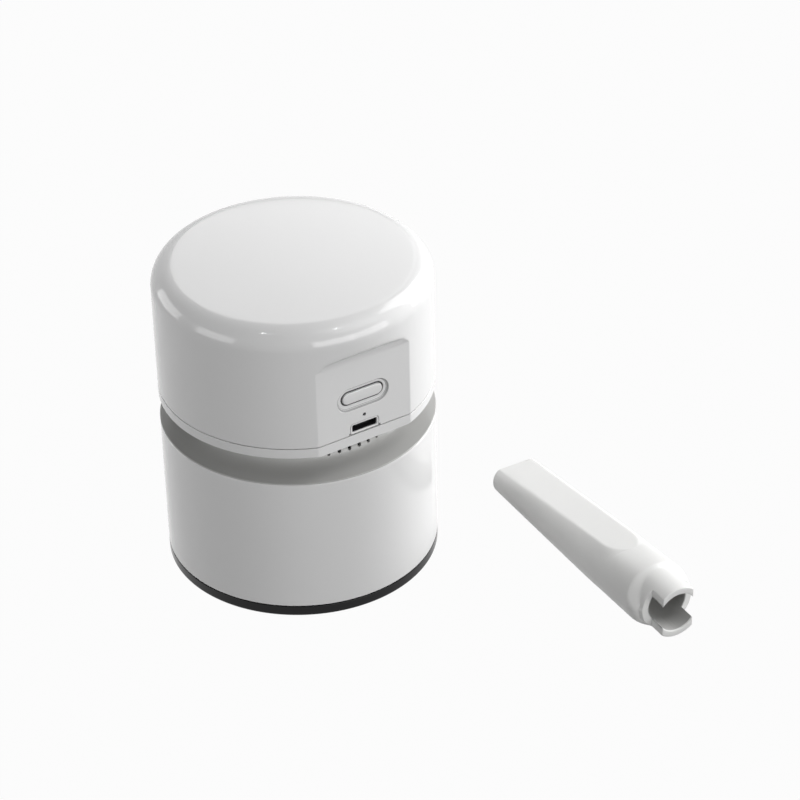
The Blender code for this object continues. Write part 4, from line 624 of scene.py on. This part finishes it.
def recess_shade():
    """Grey layer laid on the recess's sloped border: painted shade of the border, which lies sunk
    under the key and the recess's edge.
    """
    floor, edge = -RECESS_DEPTH, RECESS_BORDER
    outline = [(edge - 0.00068, floor + 0.000015), (edge - 0.00054, floor + 0.0001),
               (edge - 0.00008, -0.00008), (edge - 0.00002, -0.00007),
               (edge + 0.00002, -0.0002), (edge - 0.0006, floor - 0.0001)]
    piece("recess_shade", recess_ring(outline), RECESS_SHADE, "head")


def key_seal_and_gap_shade():
    """Soft black rubber ring behind the gap between the key and its opening, which also darkens
    the gap as painted shade.
    """
    inner = pill(*[size + 0.00004 for size in BUTTON_SIZE])
    outer = pill(*[size + 0.0001 for size in OPENING_SIZE])
    # Black seen through the key's gap: partly a seal, partly painted shade of the gap
    rings = [facing(outline, PANEL - depth * MM, BUTTON_Z, BUTTON_X)
             for outline, depth in ((inner, 0.8), (outer, 0.8), (outer, 1.8), (inner, 1.8))]
    piece("key_seal_and_gap_shade", lofted(rings, closed=True), RUBBER, "head")


def port_hole():
    """The cap's opening for the bezel, with a small relief at each lower corner."""
    gap, relief = 0.00018, 0.0004
    half, high, corner = [size + gap for size in (BEZEL_HALF, BEZEL_TOP, BEZEL_CORNER)]
    top = frame_outline(half, SEAM - 0.001, high, 0.0002, corner)[9:27]
    foot = SEAM + 0.0006
    return top + [(-half, foot), (-half - relief, foot), (-half - relief, SEAM - 0.001),
                  (half + relief, SEAM - 0.001), (half + relief, foot), (half, foot)]


def port_bezel():
    """Frame with a soft outer edge, a rolled lip into the port and its two clips."""
    length, height = PORT_SIZE

    def ring(share, distance):
        outline = frame_outline(mix(BEZEL_HALF, length / 2, share),
                                mix(SEAM + 0.00012, PORT_Z - height / 2, share),
                                mix(BEZEL_TOP, PORT_Z + height / 2, share),
                                mix(0.00035, 0.0004, share),
                                mix(BEZEL_CORNER, 0.0004, share))
        return facing(outline, distance, 0.0)

    rings = [ring(share, PANEL - depth * MM) for share, depth in
             ((0.0, 2.0), (0.0, 0.2), (0.05, 0.07), (0.16, 0.0), (0.55, -0.03), (0.76, 0.0),
              (0.92, 0.1), (1.0, 0.3), (1.0, 2.0))]
    clips = []
    for side in (-1, 1):
        for end, near in ((0.0046, -0.0353), (0.006, -0.0347)):
            a, b = sorted((side * 0.00405, side * end))
            clips.append(block((a, near, SEAM + 0.0001), (b, -0.034, 0.062)))
    piece("bezel_frame", merged(lofted(rings, closed=True), *clips), WHITE, "head", "port_bezel")


def port_insert():
    """Moulded socket, dark in part as painted shade inside the port: a snout that fills the
    bezel, its cavity and the tongue.
    """
    low, high = from_axis("charging_socket")
    middle = (low.z + high.z) / 2

    def ring(length, height, corner, distance):
        outline = frame_outline(length / 2 * MM, -height / 2 * MM, height / 2 * MM, corner * MM,
                                corner * MM, 6)
        return facing(outline, distance, middle)

    back, wall = -high.y, -low.y
    rings = [ring(7.5, 2.6, 0.5, back), ring(7.5, 2.6, 0.5, wall), ring(7.84, 2.09, 0.4, wall),
             ring(7.84, 2.09, 0.4, PANEL - 0.00034), ring(7.8, 2.05, 0.4, PANEL - 0.0003),
             ring(7.6, 1.85, 0.35, PANEL - 0.0003), ring(7.54, 1.79, 0.35, PANEL - 0.00036),
             ring(7.54, 1.79, 0.35, wall - 0.0014)]
    # Dark blocks behind the opening's lower corner reliefs: painted shade in the reliefs
    shade_plugs = [block((min(a, b), -(PANEL - 0.0008), SEAM + 0.00002),
                   (max(a, b), -(PANEL - 0.0018), SEAM + 0.00052))
             for a, b in ((0.00464, 0.00516), (-0.00464, -0.00516))]
    tongue = [ring(4.5, 0.42, 0.12, wall - 0.0016), ring(4.5, 0.42, 0.12, PANEL - 0.0013),
              ring(4.35, 0.28, 0.1, PANEL - 0.0012)]
    piece("socket_body", merged(lofted(rings), lofted(tongue), *shade_plugs), SOCKET_AND_PORT_SHADE, "head",
          "charging_socket")


def light_lens():
    """Smoked pipe that brings the board's light to the pinhole."""
    low, high = from_axis("status_light")
    wall, back = -low.y, -high.y
    steps = [(0.9, back), (0.9, wall), (0.5, wall), (0.5, PANEL - 0.0003),
             (0.46, PANEL - 0.00021), (0.3, PANEL - 0.00016), (0.12, PANEL - 0.000145)]
    rings = [facing(disc(radius * MM, 32), distance, PINHOLE_Z) for radius, distance in steps]
    piece("light_pipe", lofted(rings), LENS, "head", "status_light")


def button_key():
    """Pill key: soft edge, faintly domed face, a flange behind the wall and its stem."""
    length, height = BUTTON_SIZE
    front = PANEL - BUTTON_SUNK
    steps = [(-1.6, 0.0339), (-1.6, 0.0347), (0.0, 0.0347), (0.0, front - 0.00055)]
    for i in range(9):
        turn = pi / 2 * i / 8
        steps.append((0.76 * (1.0 - cos(turn)), front - 0.00038 * (1.0 - sin(turn))))
    steps += [(inset, front + lift * MM) for inset, lift in
              ((0.95, 0.01), (1.6, 0.035), (2.3, 0.055), (2.9, 0.065), (3.3, 0.07))]
    rings = [facing(pill(length - inset * MM, height - inset * MM), distance, BUTTON_Z, BUTTON_X)
             for inset, distance in steps]
    stem = lofted([facing(disc(0.0012, 24), d, BUTTON_Z) for d in (0.0336, 0.0343)])
    piece("button_key", merged(lofted(rings), stem), WHITE, "button", "power_button")


def head_plate():
    """Plate that closes the cap from below, with the seam above it."""
    profile = rounded([
        (0.0293, PLATE_BOTTOM, 0.0002), (BODY, PLATE_BOTTOM, 0.0004),
        (BODY, PLATE_TOP, SEAM_EDGE), (INNER, PLATE_TOP, SEAM_EDGE), (INNER, PLATE_DECK, 0.0002),
        (0.0293, PLATE_DECK, 0.0002)])
    cuts = [screw_seat(PLATE_BOTTOM, on_circle(CAP_SCREW_CIRCLE, a), 0.004)
            for a in CAP_SCREW_ANGLES]
    piece("plate_shell", with_panel(turned(profile, panel_columns())), WHITE, "head",
          "head_plate", cuts=cuts)


# ---- neck, cup and base

def vents(length, height, near, far):
    """A form for each upright exhaust slot, front and back, between two radii."""
    slot = lofted([[(r, y, VENT_Z + z) for z, y in pill(length, height, 8)]
                   for r in (near, far)])
    return [moved(slot, Matrix.Rotation(side + (i - (VENT_COUNT - 1) / 2) * VENT_STEP, 4, "Z"))
            for side in (-pi / 2, pi / 2) for i in range(VENT_COUNT)]


def neck_collar():
    """Coved neck: its lip over the cup, the vents, and the walls that hold cup and filter."""
    cove = bezier((0.0396, 0.0468), (0.0327, 0.0476), (NECK_WAIST, 0.0476),
                  (NECK_WAIST, 0.0526), 22)
    lip = [(BODY, RIM + 0.00012), (BODY, RIM + 0.00024),
           (BODY - 0.0001, RIM + 0.00034), (BODY - 0.00025, RIM + 0.00039)]
    profile = [(0.0378, RIM), (BODY - 0.00012, RIM)] + lip + cove
    profile += rounded([
        (NECK_WAIST, 0.0527, 0.0), (NECK_WAIST, 0.055, 0.0002), (NECK_BORE, 0.055, 0.0),
        (NECK_BORE, 0.0573, 0.0001), (0.0295, 0.05787, 0.0002), (NECK_BORE, 0.0584, 0.0001),
        (0.0274, 0.0584, 0.0002), (0.0274, 0.055, 0.0002), (NECK_BORE, 0.0534, 0.0002),
        (NECK_BORE, 0.0464, 0.0003), (0.011, 0.0464, 0.0004), (0.011, 0.0446, 0.0004),
        (0.0266, 0.0446, 0.0003), (0.0266, 0.04, 0.0003), (0.0282, 0.04, 0.0004),
        (0.0282, 0.0446, 0.0003), (0.0354, 0.0446, 0.0003), (0.0354, 0.0414, 0.0003),
        (0.0375, 0.0414, 0.0004), (0.0375, 0.0426, 0.0001), (0.0363, 0.0426, 0.0001),
        (0.0363, 0.0444, 0.0001), (0.0375, 0.0444, 0.0001),
        (0.0375, RIM, 0.0)], closed=False, steps=4)
    cuts = vents(0.0048, 0.0011, 0.0284, 0.0354)
    cuts += [screw_seat(0.0446, on_circle(FAN_SCREW_CIRCLE, a)) for a in around(3)]
    # The neck's grey is in part painted shade under the plate's overhang
    piece("neck_shell", turned(profile), GREY_AND_NECK_SHADE, "head", "neck_collar", cuts=cuts)


def vent_screens():
    """Dark gauze set back in each exhaust slot."""
    piece("vent_screens", merged(*vents(0.00476, 0.00106, 0.0296, 0.03068)), GAUZE, "head")


def seal_ring():
    """Rubber ring in the neck's groove, against the cup's wall."""
    profile = rounded([
        (0.0366, 0.0429, 0.0), (0.0375, 0.0429, 0.0004), (0.0375, 0.0441, 0.0004),
        (0.0366, 0.0441, 0.0)], steps=5)
    piece("seal_ring", turned(profile), RUBBER, "head", "cup_seal")


def dust_cup():
    """Cup whose floor has a hole for the duct and bosses for the base's screws."""
    profile = rounded([
        (BODY, CUP_BOTTOM, 0.00015), (BODY, CUP_TOP, 0.0004), (INNER, CUP_TOP, 0.0002),
        (INNER, 0.0082, 0.003), (DUCT_HOLE, 0.0082, 0.0002), (DUCT_HOLE, 0.006, 0.0002),
        (INNER, 0.006, 0.0005), (INNER, CUP_BOTTOM, 0.00015)], steps=7)
    bosses = [boss(0.003, 0.0028, 0.0071, on_circle(SCREW_CIRCLE, a))
              for a in around(3, pi / 2)]
    piece("cup_shell", merged(turned(profile), *bosses), WHITE, "base", "dust_cup")


def suction_duct():
    """Pipe up through the cup's floor, with the flange that holds it."""
    profile = rounded([
        (DUCT_BORE, 0.002, 0.0003), (DUCT_OUTER, 0.002, 0.0002), (DUCT_OUTER, 0.0043, 0.0002),
        (0.013, 0.0043, 0.0003), (0.013, 0.0057, 0.0003), (DUCT_OUTER, 0.0057, 0.0002),
        (DUCT_OUTER, 0.016, 0.0007), (DUCT_BORE, 0.016, 0.0007)], steps=6)
    piece("duct_pipe", turned(profile, around(96)), GREY_AND_NECK_SHADE, "base", "suction_duct")


def base_plate():
    """Black ring, dished in the middle, with seats for screws, pads and brushes."""
    dish, dish_wall = 0.0258, 0.0274
    profile = rounded([
        (dish, RING_BOTTOM, 0.0003), (BODY, RING_BOTTOM, 0.0007), (BODY, RING_TOP, 0.0002),
        (0.0375, RING_TOP, 0.0002), (0.0375, 0.0057, 0.0002), (0.0359, 0.0057, 0.0002),
        (0.0359, 0.0025, 0.0002), (dish_wall, 0.0025, 0.0002), (dish_wall, 0.004, 0.0002),
        (DUCT_HOLE, 0.004, 0.0002), (DUCT_HOLE, 0.002, 0.0003), (dish, 0.002, 0.0003)], steps=4)
    cuts = [screw_seat(RING_BOTTOM, on_circle(SCREW_CIRCLE, a), 0.003)
            for a in around(3, pi / 2)]
    for angle in around(3, pi / 6):
        cuts.append(turned([(0.0, -0.001), (0.0042, -0.001), (0.0042, 0.0015), (0.0, 0.0015)],
                           around(48), on_circle(SCREW_CIRCLE, angle)))
    for node in ("brush_front", "brush_rear"):
        low, high = from_axis(node)
        cuts.append(block((low.x - 0.0002, low.y - 0.0002, 0.001),
                          (high.x + 0.0002, high.y + 0.0002, high.z + 0.0002)))
    piece("base_ring", turned(profile), BLACK_GLOSS, "base", "base_plate", cuts=cuts)


def foot_pads():
    """Soft pads with two fine rings moulded into their faces."""
    profile = [(0.0, 0.0), (0.0011, 0.0), (0.0013, 0.00018), (0.0015, 0.0), (0.0025, 0.0),
               (0.0027, 0.00018), (0.0029, 0.0)]
    profile += rounded([
        (0.003, 0.0, 0.0), (0.004, 0.0, 0.0004), (0.004, 0.0013, 0.0),
        (0.0, 0.0013, 0.0)], closed=False, steps=5)
    for i, angle in enumerate(around(3, pi / 6)):
        pad = turned(profile, around(64), on_circle(SCREW_CIRCLE, angle))
        piece(f"foot_pad_{i + 1}", pad, RUBBER, "base", f"foot_{i + 1}")


def screws():
    """Pan heads with a cross recess, on a threaded shank."""
    def cross(w, h, z):
        quarter = [(w, -h), (w, h), (h, h)]
        return [(x * c - y * s, x * s + y * c, z)
                for c, s in ((1, 0), (0, 1), (-1, 0), (0, -1)) for x, y in quarter]

    recess = [lofted([cross(0.00135, 0.00028, -0.0002), cross(0.0007, 0.00016, 0.0006)])]
    kinds = (("base", SCREW_CIRCLE, around(3, pi / 2), RING_BOTTOM, 0.005, "base"),
             ("fan", FAN_SCREW_CIRCLE, around(3), 0.0446, 0.007, "head"),
             ("cap", CAP_SCREW_CIRCLE, CAP_SCREW_ANGLES, PLATE_BOTTOM, 0.009, "head"))
    for kind, circle, angles, face, length, body in kinds:
        profile = [(0.0, 0.0), (0.0013, 0.00002), (0.0019, 0.00014), (0.0023, 0.00042),
                   (0.0024, 0.0006), (0.0024, 0.0009), (0.0011, 0.0009)]
        rise = 0.0011
        while rise < length - 0.0012:
            profile += [(0.00105, rise), (0.00082, rise + 0.00022), (0.00105, rise + 0.00044)]
            rise += 0.0006
        profile += [(0.0009, length - 0.0006), (0.0, length)]
        screw = turned(profile, around(28))
        for i, angle in enumerate(angles):
            place = Matrix.Translation(AXIS + Vector((*on_circle(circle, angle), face)))
            piece(f"{kind}_fixing_{i + 1}", screw, STEEL, body, f"{kind}_screw_{i + 1}",
                  cuts=recess, place=place)


def strand(x, y, lean, tip, low, high):
    """One fibre from the strip down to its tip, kept between the strip's sides."""
    root, margin, thickness = 0.0018, 0.0001, 0.00008
    rings = []
    for share in (0.0, 0.5, 1.0):
        mx = clamp(x + lean[0] * share * share, low.x + margin, high.x - margin)
        my = clamp(y + lean[1] * share * share, low.y + margin, high.y - margin)
        size, z = thickness * (1.0 - 0.35 * share), root + (tip - root) * share
        rings.append([(mx + size * cos(a), my + size * sin(a), z) for a in around(4)])
    return lofted(rings)


def brushes():
    """Strips of short fibres, each strand bent and trimmed a little differently."""
    chance = np.random.default_rng(7)
    for node, name in (("brush_front", "fibres_front"), ("brush_rear", "fibres_rear")):
        low, high = from_axis(node)
        forms = [block((low.x, low.y, 0.0017), (high.x, high.y, high.z))]
        for x in np.arange(low.x + 0.0006, high.x - 0.0005, 0.0011):
            for row in (0.3, 0.7):
                y = low.y + (high.y - low.y) * row
                for _ in range(7):
                    dx, dy = chance.normal(0.0, 0.00018, 2)
                    lean = chance.normal(0.0, 0.00022, 2)
                    tip = low.z + abs(chance.normal(0.0, 0.00008))
                    forms.append(strand(x + dx, y + dy, lean, tip, low, high))
        piece(name, merged(*forms), BRISTLE, "base", node)


def filter_basket():
    """Open cage: two rings and six ribs."""
    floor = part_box("filter_cage")[0].z
    ring = rounded([
        (0.0285, 0.04, 0.0003), (0.0301, 0.04, 0.0003), (0.0301, 0.0443, 0.0003),
        (0.0285, 0.0443, 0.0003)], steps=4)
    base = rounded([
        (0.019, floor, 0.0004), (0.0301, floor, 0.0004), (0.0301, floor + 0.0015, 0.0003),
        (0.019, floor + 0.0015, 0.0003)], steps=4)
    outline = rounded([
        (0.0285, -0.0015, 0.0004), (0.03, -0.0015, 0.0004), (0.03, 0.0015, 0.0004),
        (0.0285, 0.0015, 0.0004)], steps=4)
    rib = lofted([[(x, y, z) for x, y in outline] for z in (floor + 0.0007, 0.042)])
    ribs = [moved(rib, Matrix.Rotation(angle, 4, "Z")) for angle in around(6)]
    piece("filter_basket", merged(turned(ring), turned(base), *ribs), SATIN, "filter",
          "filter_cage")


def filter_pleats():
    """Paper folded into pleats round the inside of the cage."""
    low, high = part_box("filter_cloth")
    folds, steps, swing = 26, 8, 0.001
    pleats = []
    for a in around(folds * steps):
        wave = cos(folds * a)
        pleats.append((0.02818 - swing * (1.0 - (abs(wave) ** 0.6) * (1 if wave > 0 else -1)), a))
    rows = []
    for z, grow in ((low.z, -0.0002), (low.z + 0.0002, 0.0), (low.z + 0.004, 0.0),
                    (low.z + 0.008, 0.0), (high.z - 0.0002, 0.0), (high.z, -0.0002)):
        rows.append([(*on_circle(r + grow, a), z) for r, a in pleats])
    for z, radius in ((high.z, 0.0202), (high.z - 0.0002, 0.02), (low.z + 0.0017, 0.02),
                      (low.z + 0.0015, 0.0198)):
        rows.append([(*on_circle(radius, a), z) for _, a in pleats])
    piece("filter_pleats", lofted(rows), PAPER, "filter", "filter_cloth")


# ---- the nozzle

# Along the nozzle from its mouth: the taper's end, the shoulder and the whole length
TAPER, SHOULDER, LENGTH = 0.064, 0.0798, 0.088
MOUTH_WIDE, MOUTH_HIGH = 0.00785, 0.00405
FACET, FACET_END, FACET_TIP, FACET_HIGH = 0.00515, 0.008, 0.0004, 0.0083
FACET_START = TAPER - FACET_END
TAIL_WIDE, TAIL_HIGH, TUBE = 0.0105, 0.00935, 0.00815
BORE, LIP = TUBE - 0.002, 0.00025
# Where the step from body to tube starts and ends, at the sides and on top
STEP_SIDE, STEP_TOP = (0.0771, 0.0812), (0.0746, 0.077)
# The sides' bulge past a place: the smaller of two lines, as (height, slope, start)
FLANK_START, FLANK_LINES = 0.046, ((0.0085, 0.066, 0.046), (0.00918, 0.006, 0.056))


def nozzle_size(x):
    """Half the width and half the height of the body at a place along it."""
    width = mix(MOUTH_WIDE, TAIL_WIDE, x / SHOULDER)
    if x < TAPER:
        return width, mix(MOUTH_HIGH, FACET_HIGH, x / TAPER)
    return width, mix(FACET_HIGH, TAIL_HIGH, (x - TAPER) / (SHOULDER - TAPER))


def nozzle_section(x, width, height, axis, facet=FACET_TIP, taper=1.0, soft=0.0005,
                   flank=None):
    """Section with a facet above and below, its edges rounded into the sides."""
    cut_angle = acos(facet / width)
    crown = height / sin(cut_angle)
    flank = flank or crown

    def side(share):
        full, cut_off = pi / 2 * share, cut_angle * share
        bulge = mix(flank, crown, eased(clamp((abs(share) - 0.4) / 0.6)))
        return Vector((mix(facet + (width - facet) * cos(full), width * cos(cut_off), taper),
                       mix(height * sin(full), bulge * sin(cut_off), taper)))

    soft = min(soft, 0.7 * facet)
    near = 1.0 - soft / (0.5 * (side(1.0) - side(0.9)).length / 0.1 + 1e-9) * 0.5
    near = clamp(near, 0.8, 0.985)
    top = [Vector((0.0, height)), Vector((0.5 * (facet - soft), height)),
           Vector((0.92 * (facet - soft), height)), Vector((facet - soft, height))]
    corner, end = Vector((facet, height)), side(near)
    for i in range(1, 5):
        t = i / 5
        top.append((1 - t) ** 2 * top[3] + 2 * t * (1 - t) * corner + t * t * end)
    right = top + [side(near * (1.0 - 2.0 * i / 28)) for i in range(29)]
    right += [Vector((p.x, -p.y)) for p in reversed(top)]
    left = [Vector((-p.x, p.y)) for p in right[-2:0:-1]]
    return [(x, p.x, axis + p.y) for p in right + left]


def nozzle_ring(x, wall=0.0):
    """Section of the tapered body, or of its inside, a wall thickness in."""
    width, height = nozzle_size(x)
    past = clamp((x - FACET_START) / FACET_END)
    facet = max(FACET * sqrt(1.0 - past * past), FACET_TIP)
    facet = min(facet, width - 2 * wall)
    flank = None
    if x > FLANK_START:
        lines = [-high - slope * (x - start) for high, slope, start in FLANK_LINES]
        flank = -float(soft_max(*lines, 0.0002))
    return nozzle_section(x, width - wall, height - wall, height, facet, min(x / TAPER, 1.0),
                          flank=flank)


def nozzle_body(x):
    """A ring whose sides run smoothly past the end of the facets."""
    shifts = (-3.6, -2.4, -1.2, 0.0, 1.2, 2.4, 3.6)
    near = [nozzle_ring(x + shift * 0.001) for shift in shifts]
    weights = [1.0 - abs(shift) / 4.8 for shift in shifts]
    height = nozzle_size(x)[1]
    ring = []
    for i, (_, y, z) in enumerate(near[3]):
        even = [sum(w * r[i][k] for w, r in zip(weights, near)) / sum(weights) for k in (1, 2)]
        share = 1.0 - eased(clamp((abs(z - height) / height - 0.72) / 0.26))
        ring.append((x, mix(y, even[0], share), mix(z, even[1], share)))
    return ring


def nozzle_tube(x, radius):
    """Round section of the tail."""
    return nozzle_section(x, radius, radius, TAIL_HIGH)


def nozzle_step(x):
    """Section from body to tube, whose soft step comes early on top, late at the sides."""
    body = [(x, y, z) for _, y, z in nozzle_body(min(x, SHOULDER))]
    ring = []
    for p, q in zip(body, nozzle_tube(x, TUBE)):
        lift = max(0.0, (q[2] - TAIL_HIGH) / TUBE)
        start, end = (mix(side, top, lift) for side, top in zip(STEP_SIDE, STEP_TOP))
        t = clamp((x - start) / (end - start))
        share = mix(1.0 - sqrt(1.0 - t * t), eased(t), lift)
        ring.append(tuple(mix(a, b, share) for a, b in zip(p, q)))
    return ring


def nozzle_forms():
    """The wall, from the mouth's lip over the outside and back through the bore, and a darker
    sleeve in the bore that is painted shade inside the tube."""
    turns = [pi / 2 * i / 5 for i in range(6)]
    rings = [nozzle_ring(0.0005 * (1.0 - cos(t)), 0.0005 * (1.0 - sin(t))) for t in turns]
    rings += [nozzle_ring(x) for x in np.linspace(0.0008, 0.042, 20)]
    rings += [nozzle_body(x) for x in np.linspace(0.044, FACET_START, 8)]
    rings += [nozzle_body(FACET_START + FACET_END * sin(pi / 2 * i / 30)) for i in range(1, 31)]
    rings += [nozzle_step(x) for x in np.linspace(TAPER + 0.0008, STEP_TOP[0] - 0.0006, 8)]
    rings += [nozzle_step(x) for x in np.arange(STEP_TOP[0], STEP_SIDE[1] + 0.0001, 0.00025)]
    rings += [nozzle_tube(x, TUBE) for x in (0.083, 0.0845, 0.086, LENGTH - 0.0003)]
    turns = (0.0, 0.5, 1.1, pi / 2)
    for radius, side, order in ((TUBE, -1, turns), (BORE, 1, turns[::-1])):
        rings += [nozzle_tube(LENGTH - LIP * (1.0 - sin(t)), radius + side * LIP * (1.0 - cos(t)))
                  for t in order]
    rings += [nozzle_tube(x, BORE) for x in (LENGTH - 0.002, 0.08, 0.072, TAPER)]
    tail, mouth = nozzle_tube(TAPER, BORE), nozzle_ring(0.0006, 0.0014)
    for share in (0.2, 0.4, 0.6, 0.8, 1.0):
        rings.append([tuple(mix(a, b, share) for a, b in zip(p, q))
                      for p, q in zip(tail, mouth)])
    rings += [nozzle_ring(0.0002, 0.0012), nozzle_ring(0.0, 0.0009)]
    bore_shade_sleeve = [nozzle_tube(x, BORE + grow) for x, grow in
              ((LENGTH - 0.0007, 0.0003), (LENGTH - 0.0005, 0.00015), (LENGTH - 0.0005, -0.00002),
               (0.08, -0.00002), (0.07, -0.00002), (0.07, 0.0003))]
    return lofted(rings, closed=True), lofted(bore_shade_sleeve, closed=True)


def crevice_nozzle():
    """Shell and the darker sleeve of painted shade in the bore, with the gap in the tail's wall
    at each side.
    """
    gaps = [block((LENGTH - 0.0056, min(a, b), -0.021), (LENGTH + 0.021, max(a, b), 0.042))
            for a, b in ((0.005, 0.021), (-0.005, -0.021))]
    place = Matrix.Translation(NOZZLE_PLACE) @ Matrix.Rotation(NOZZLE_AZIMUTH, 4, "Z")
    shell, bore_shade_sleeve = nozzle_forms()
    piece("nozzle_bore_shade", bore_shade_sleeve, BORE_SHADE, "nozzle", cuts=gaps, place=place)
    piece("nozzle_shell", shell, SATIN, "nozzle", "crevice_nozzle",
          cuts=gaps, bevel=0.00035, place=place)


# ---- stage, light, camera

FLOOR_COLOUR, FLOOR_SHARE, WORLD_LEVEL = (0.8, 0.8, 0.8, 1.0), 0.972, 0.07


def seen_plainly(tree):
    """1 for rays of the camera, of reflections and through glass, else 0."""
    path = tree.nodes.new("ShaderNodeLightPath")
    seen = path.outputs["Is Camera Ray"]
    for kind in ("Is Glossy Ray", "Is Transmission Ray"):
        larger = tree.nodes.new("ShaderNodeMath")
        larger.operation = "MAXIMUM"
        tree.links.new(seen, larger.inputs[0])
        tree.links.new(path.outputs[kind], larger.inputs[1])
        seen = larger.outputs[0]
    return seen


def floor_material():
    """Pale floor, close to white where it is seen, that keeps a share of the shadow."""
    made = bpy.data.materials.new("floor")
    made.use_nodes = True
    tree = made.node_tree
    tree.nodes.clear()
    add, link = tree.nodes.new, tree.links.new
    out, mixer = add("ShaderNodeOutputMaterial"), add("ShaderNodeMixShader")
    plain, glow = add("ShaderNodeBsdfDiffuse"), add("ShaderNodeEmission")
    plain.inputs["Color"].default_value = FLOOR_COLOUR
    share = add("ShaderNodeMath")
    share.operation = "MULTIPLY"
    share.inputs[1].default_value = FLOOR_SHARE
    link(seen_plainly(tree), share.inputs[0])
    link(share.outputs[0], mixer.inputs["Fac"])
    link(plain.outputs[0], mixer.inputs[1])
    link(glow.outputs[0], mixer.inputs[2])
    link(mixer.outputs[0], out.inputs["Surface"])
    return made


def stage():
    floor = placed("floor", as_mesh("floor", lofted(
        [[(*on_circle(radius, a), 0.0) for a in around(64)] for radius in (3.0, 0.02)])))
    floor.data.materials.append(floor_material())


def world():
    """White where it is seen plainly, and a low even light otherwise."""
    made = bpy.data.worlds.new("studio")
    bpy.context.scene.world = made
    made.use_nodes = True
    tree = made.node_tree
    back = tree.nodes["Background"]
    strength = tree.nodes.new("ShaderNodeMapRange")
    strength.inputs["To Min"].default_value = WORLD_LEVEL
    strength.inputs["To Max"].default_value = 1.0
    tree.links.new(seen_plainly(tree), strength.inputs["Value"])
    tree.links.new(strength.outputs["Result"], back.inputs["Strength"])
    back.inputs["Color"].default_value = (1.0, 1.0, 1.0, 1.0)


# Lamps: name, bearing from the camera's side and height in degrees, distance and size in
# metres, power in watts
LAMPS = (
    ("right_low", 120, 8, 0.9, 0.5, 5),
    ("right_mid", 120, 40, 0.9, 0.5, 2.6),
    ("front_low", 30, 8, 0.9, 0.5, 2.9),
    ("front_right", 60, 8, 0.9, 0.5, 2.4),
    ("left_front", 300, 8, 0.9, 0.5, 2.05),
    ("left_low", 250, 8, 0.9, 0.5, 2.05),
    ("right_high", 60, 56, 0.9, 0.5, 0.7),
    ("back_near", 120, 30, 0.35, 0.2, 0.38),
    ("back", 180, 45, 0.35, 0.2, 0.19),
    ("glint_right", 52, 64, 0.9, 0.07, 0.16),
    ("glint_left", 323, 64, 0.9, 0.07, 0.16),
)
CAMERA_BEARING = radians(-122.1)
# The camera: focal length in pixels of the image, angles, and place in body radii
IMAGE_SIZE, SENSOR, FOCAL_PIXELS = 800.0, 36.0, 2942.0
CAMERA_TILT, CAMERA_ROLL, CAMERA_TURN = radians(33.6), radians(-1.27), radians(-32.0)
CAMERA_PLACE = Vector((0.74, -17.76, 12.98))


def lights():
    target = AXIS + Vector((0.02, 0.0, 0.05))
    for name, bearing, height, distance, size, power in LAMPS:
        lamp = bpy.data.lights.new(name, "AREA")
        lamp.shape, lamp.size, lamp.energy = "SQUARE", size, power
        made = placed(name, lamp)
        turn, lift = CAMERA_BEARING + radians(bearing), radians(height)
        away = Vector((cos(lift) * cos(turn), cos(lift) * sin(turn), sin(lift)))
        made.location = target + away * distance
        made.rotation_euler = away.to_track_quat("Z", "Y").to_euler()


def camera():
    data = bpy.data.cameras.new("camera")
    data.sensor_width, data.lens = SENSOR, FOCAL_PIXELS / IMAGE_SIZE * SENSOR
    data.clip_start, data.clip_end = 0.01, 20.0
    made = placed("camera", data)
    turn = Matrix.Rotation(CAMERA_TURN, 3, "Z")
    ahead = Vector((0.0, cos(CAMERA_TILT), -sin(CAMERA_TILT)))
    level = Vector((1.0, 0.0, 0.0))
    upright = Vector((0.0, sin(CAMERA_TILT), cos(CAMERA_TILT)))
    right = turn @ (cos(CAMERA_ROLL) * level + sin(CAMERA_ROLL) * upright)
    up = turn @ (cos(CAMERA_ROLL) * upright - sin(CAMERA_ROLL) * level)
    back = -(turn @ ahead)
    made.matrix_world = Matrix((right, up, back)).transposed().to_4x4()
    made.location = turn @ (CAMERA_PLACE * BODY) + AXIS + Vector((0, 0, RING_BOTTOM))
    bpy.context.scene.camera = made


dress_nodes()
top_cap()
port_bezel()
port_insert()
light_lens()
recess_shade()
button_key()
key_seal_and_gap_shade()
head_plate()
neck_collar()
vent_screens()
seal_ring()
dust_cup()
suction_duct()
base_plate()
foot_pads()
screws()
brushes()
filter_basket()
filter_pleats()
crevice_nozzle()
stage()
world()
lights()
camera()
bpy.context.scene.view_settings.view_transform = "Standard"
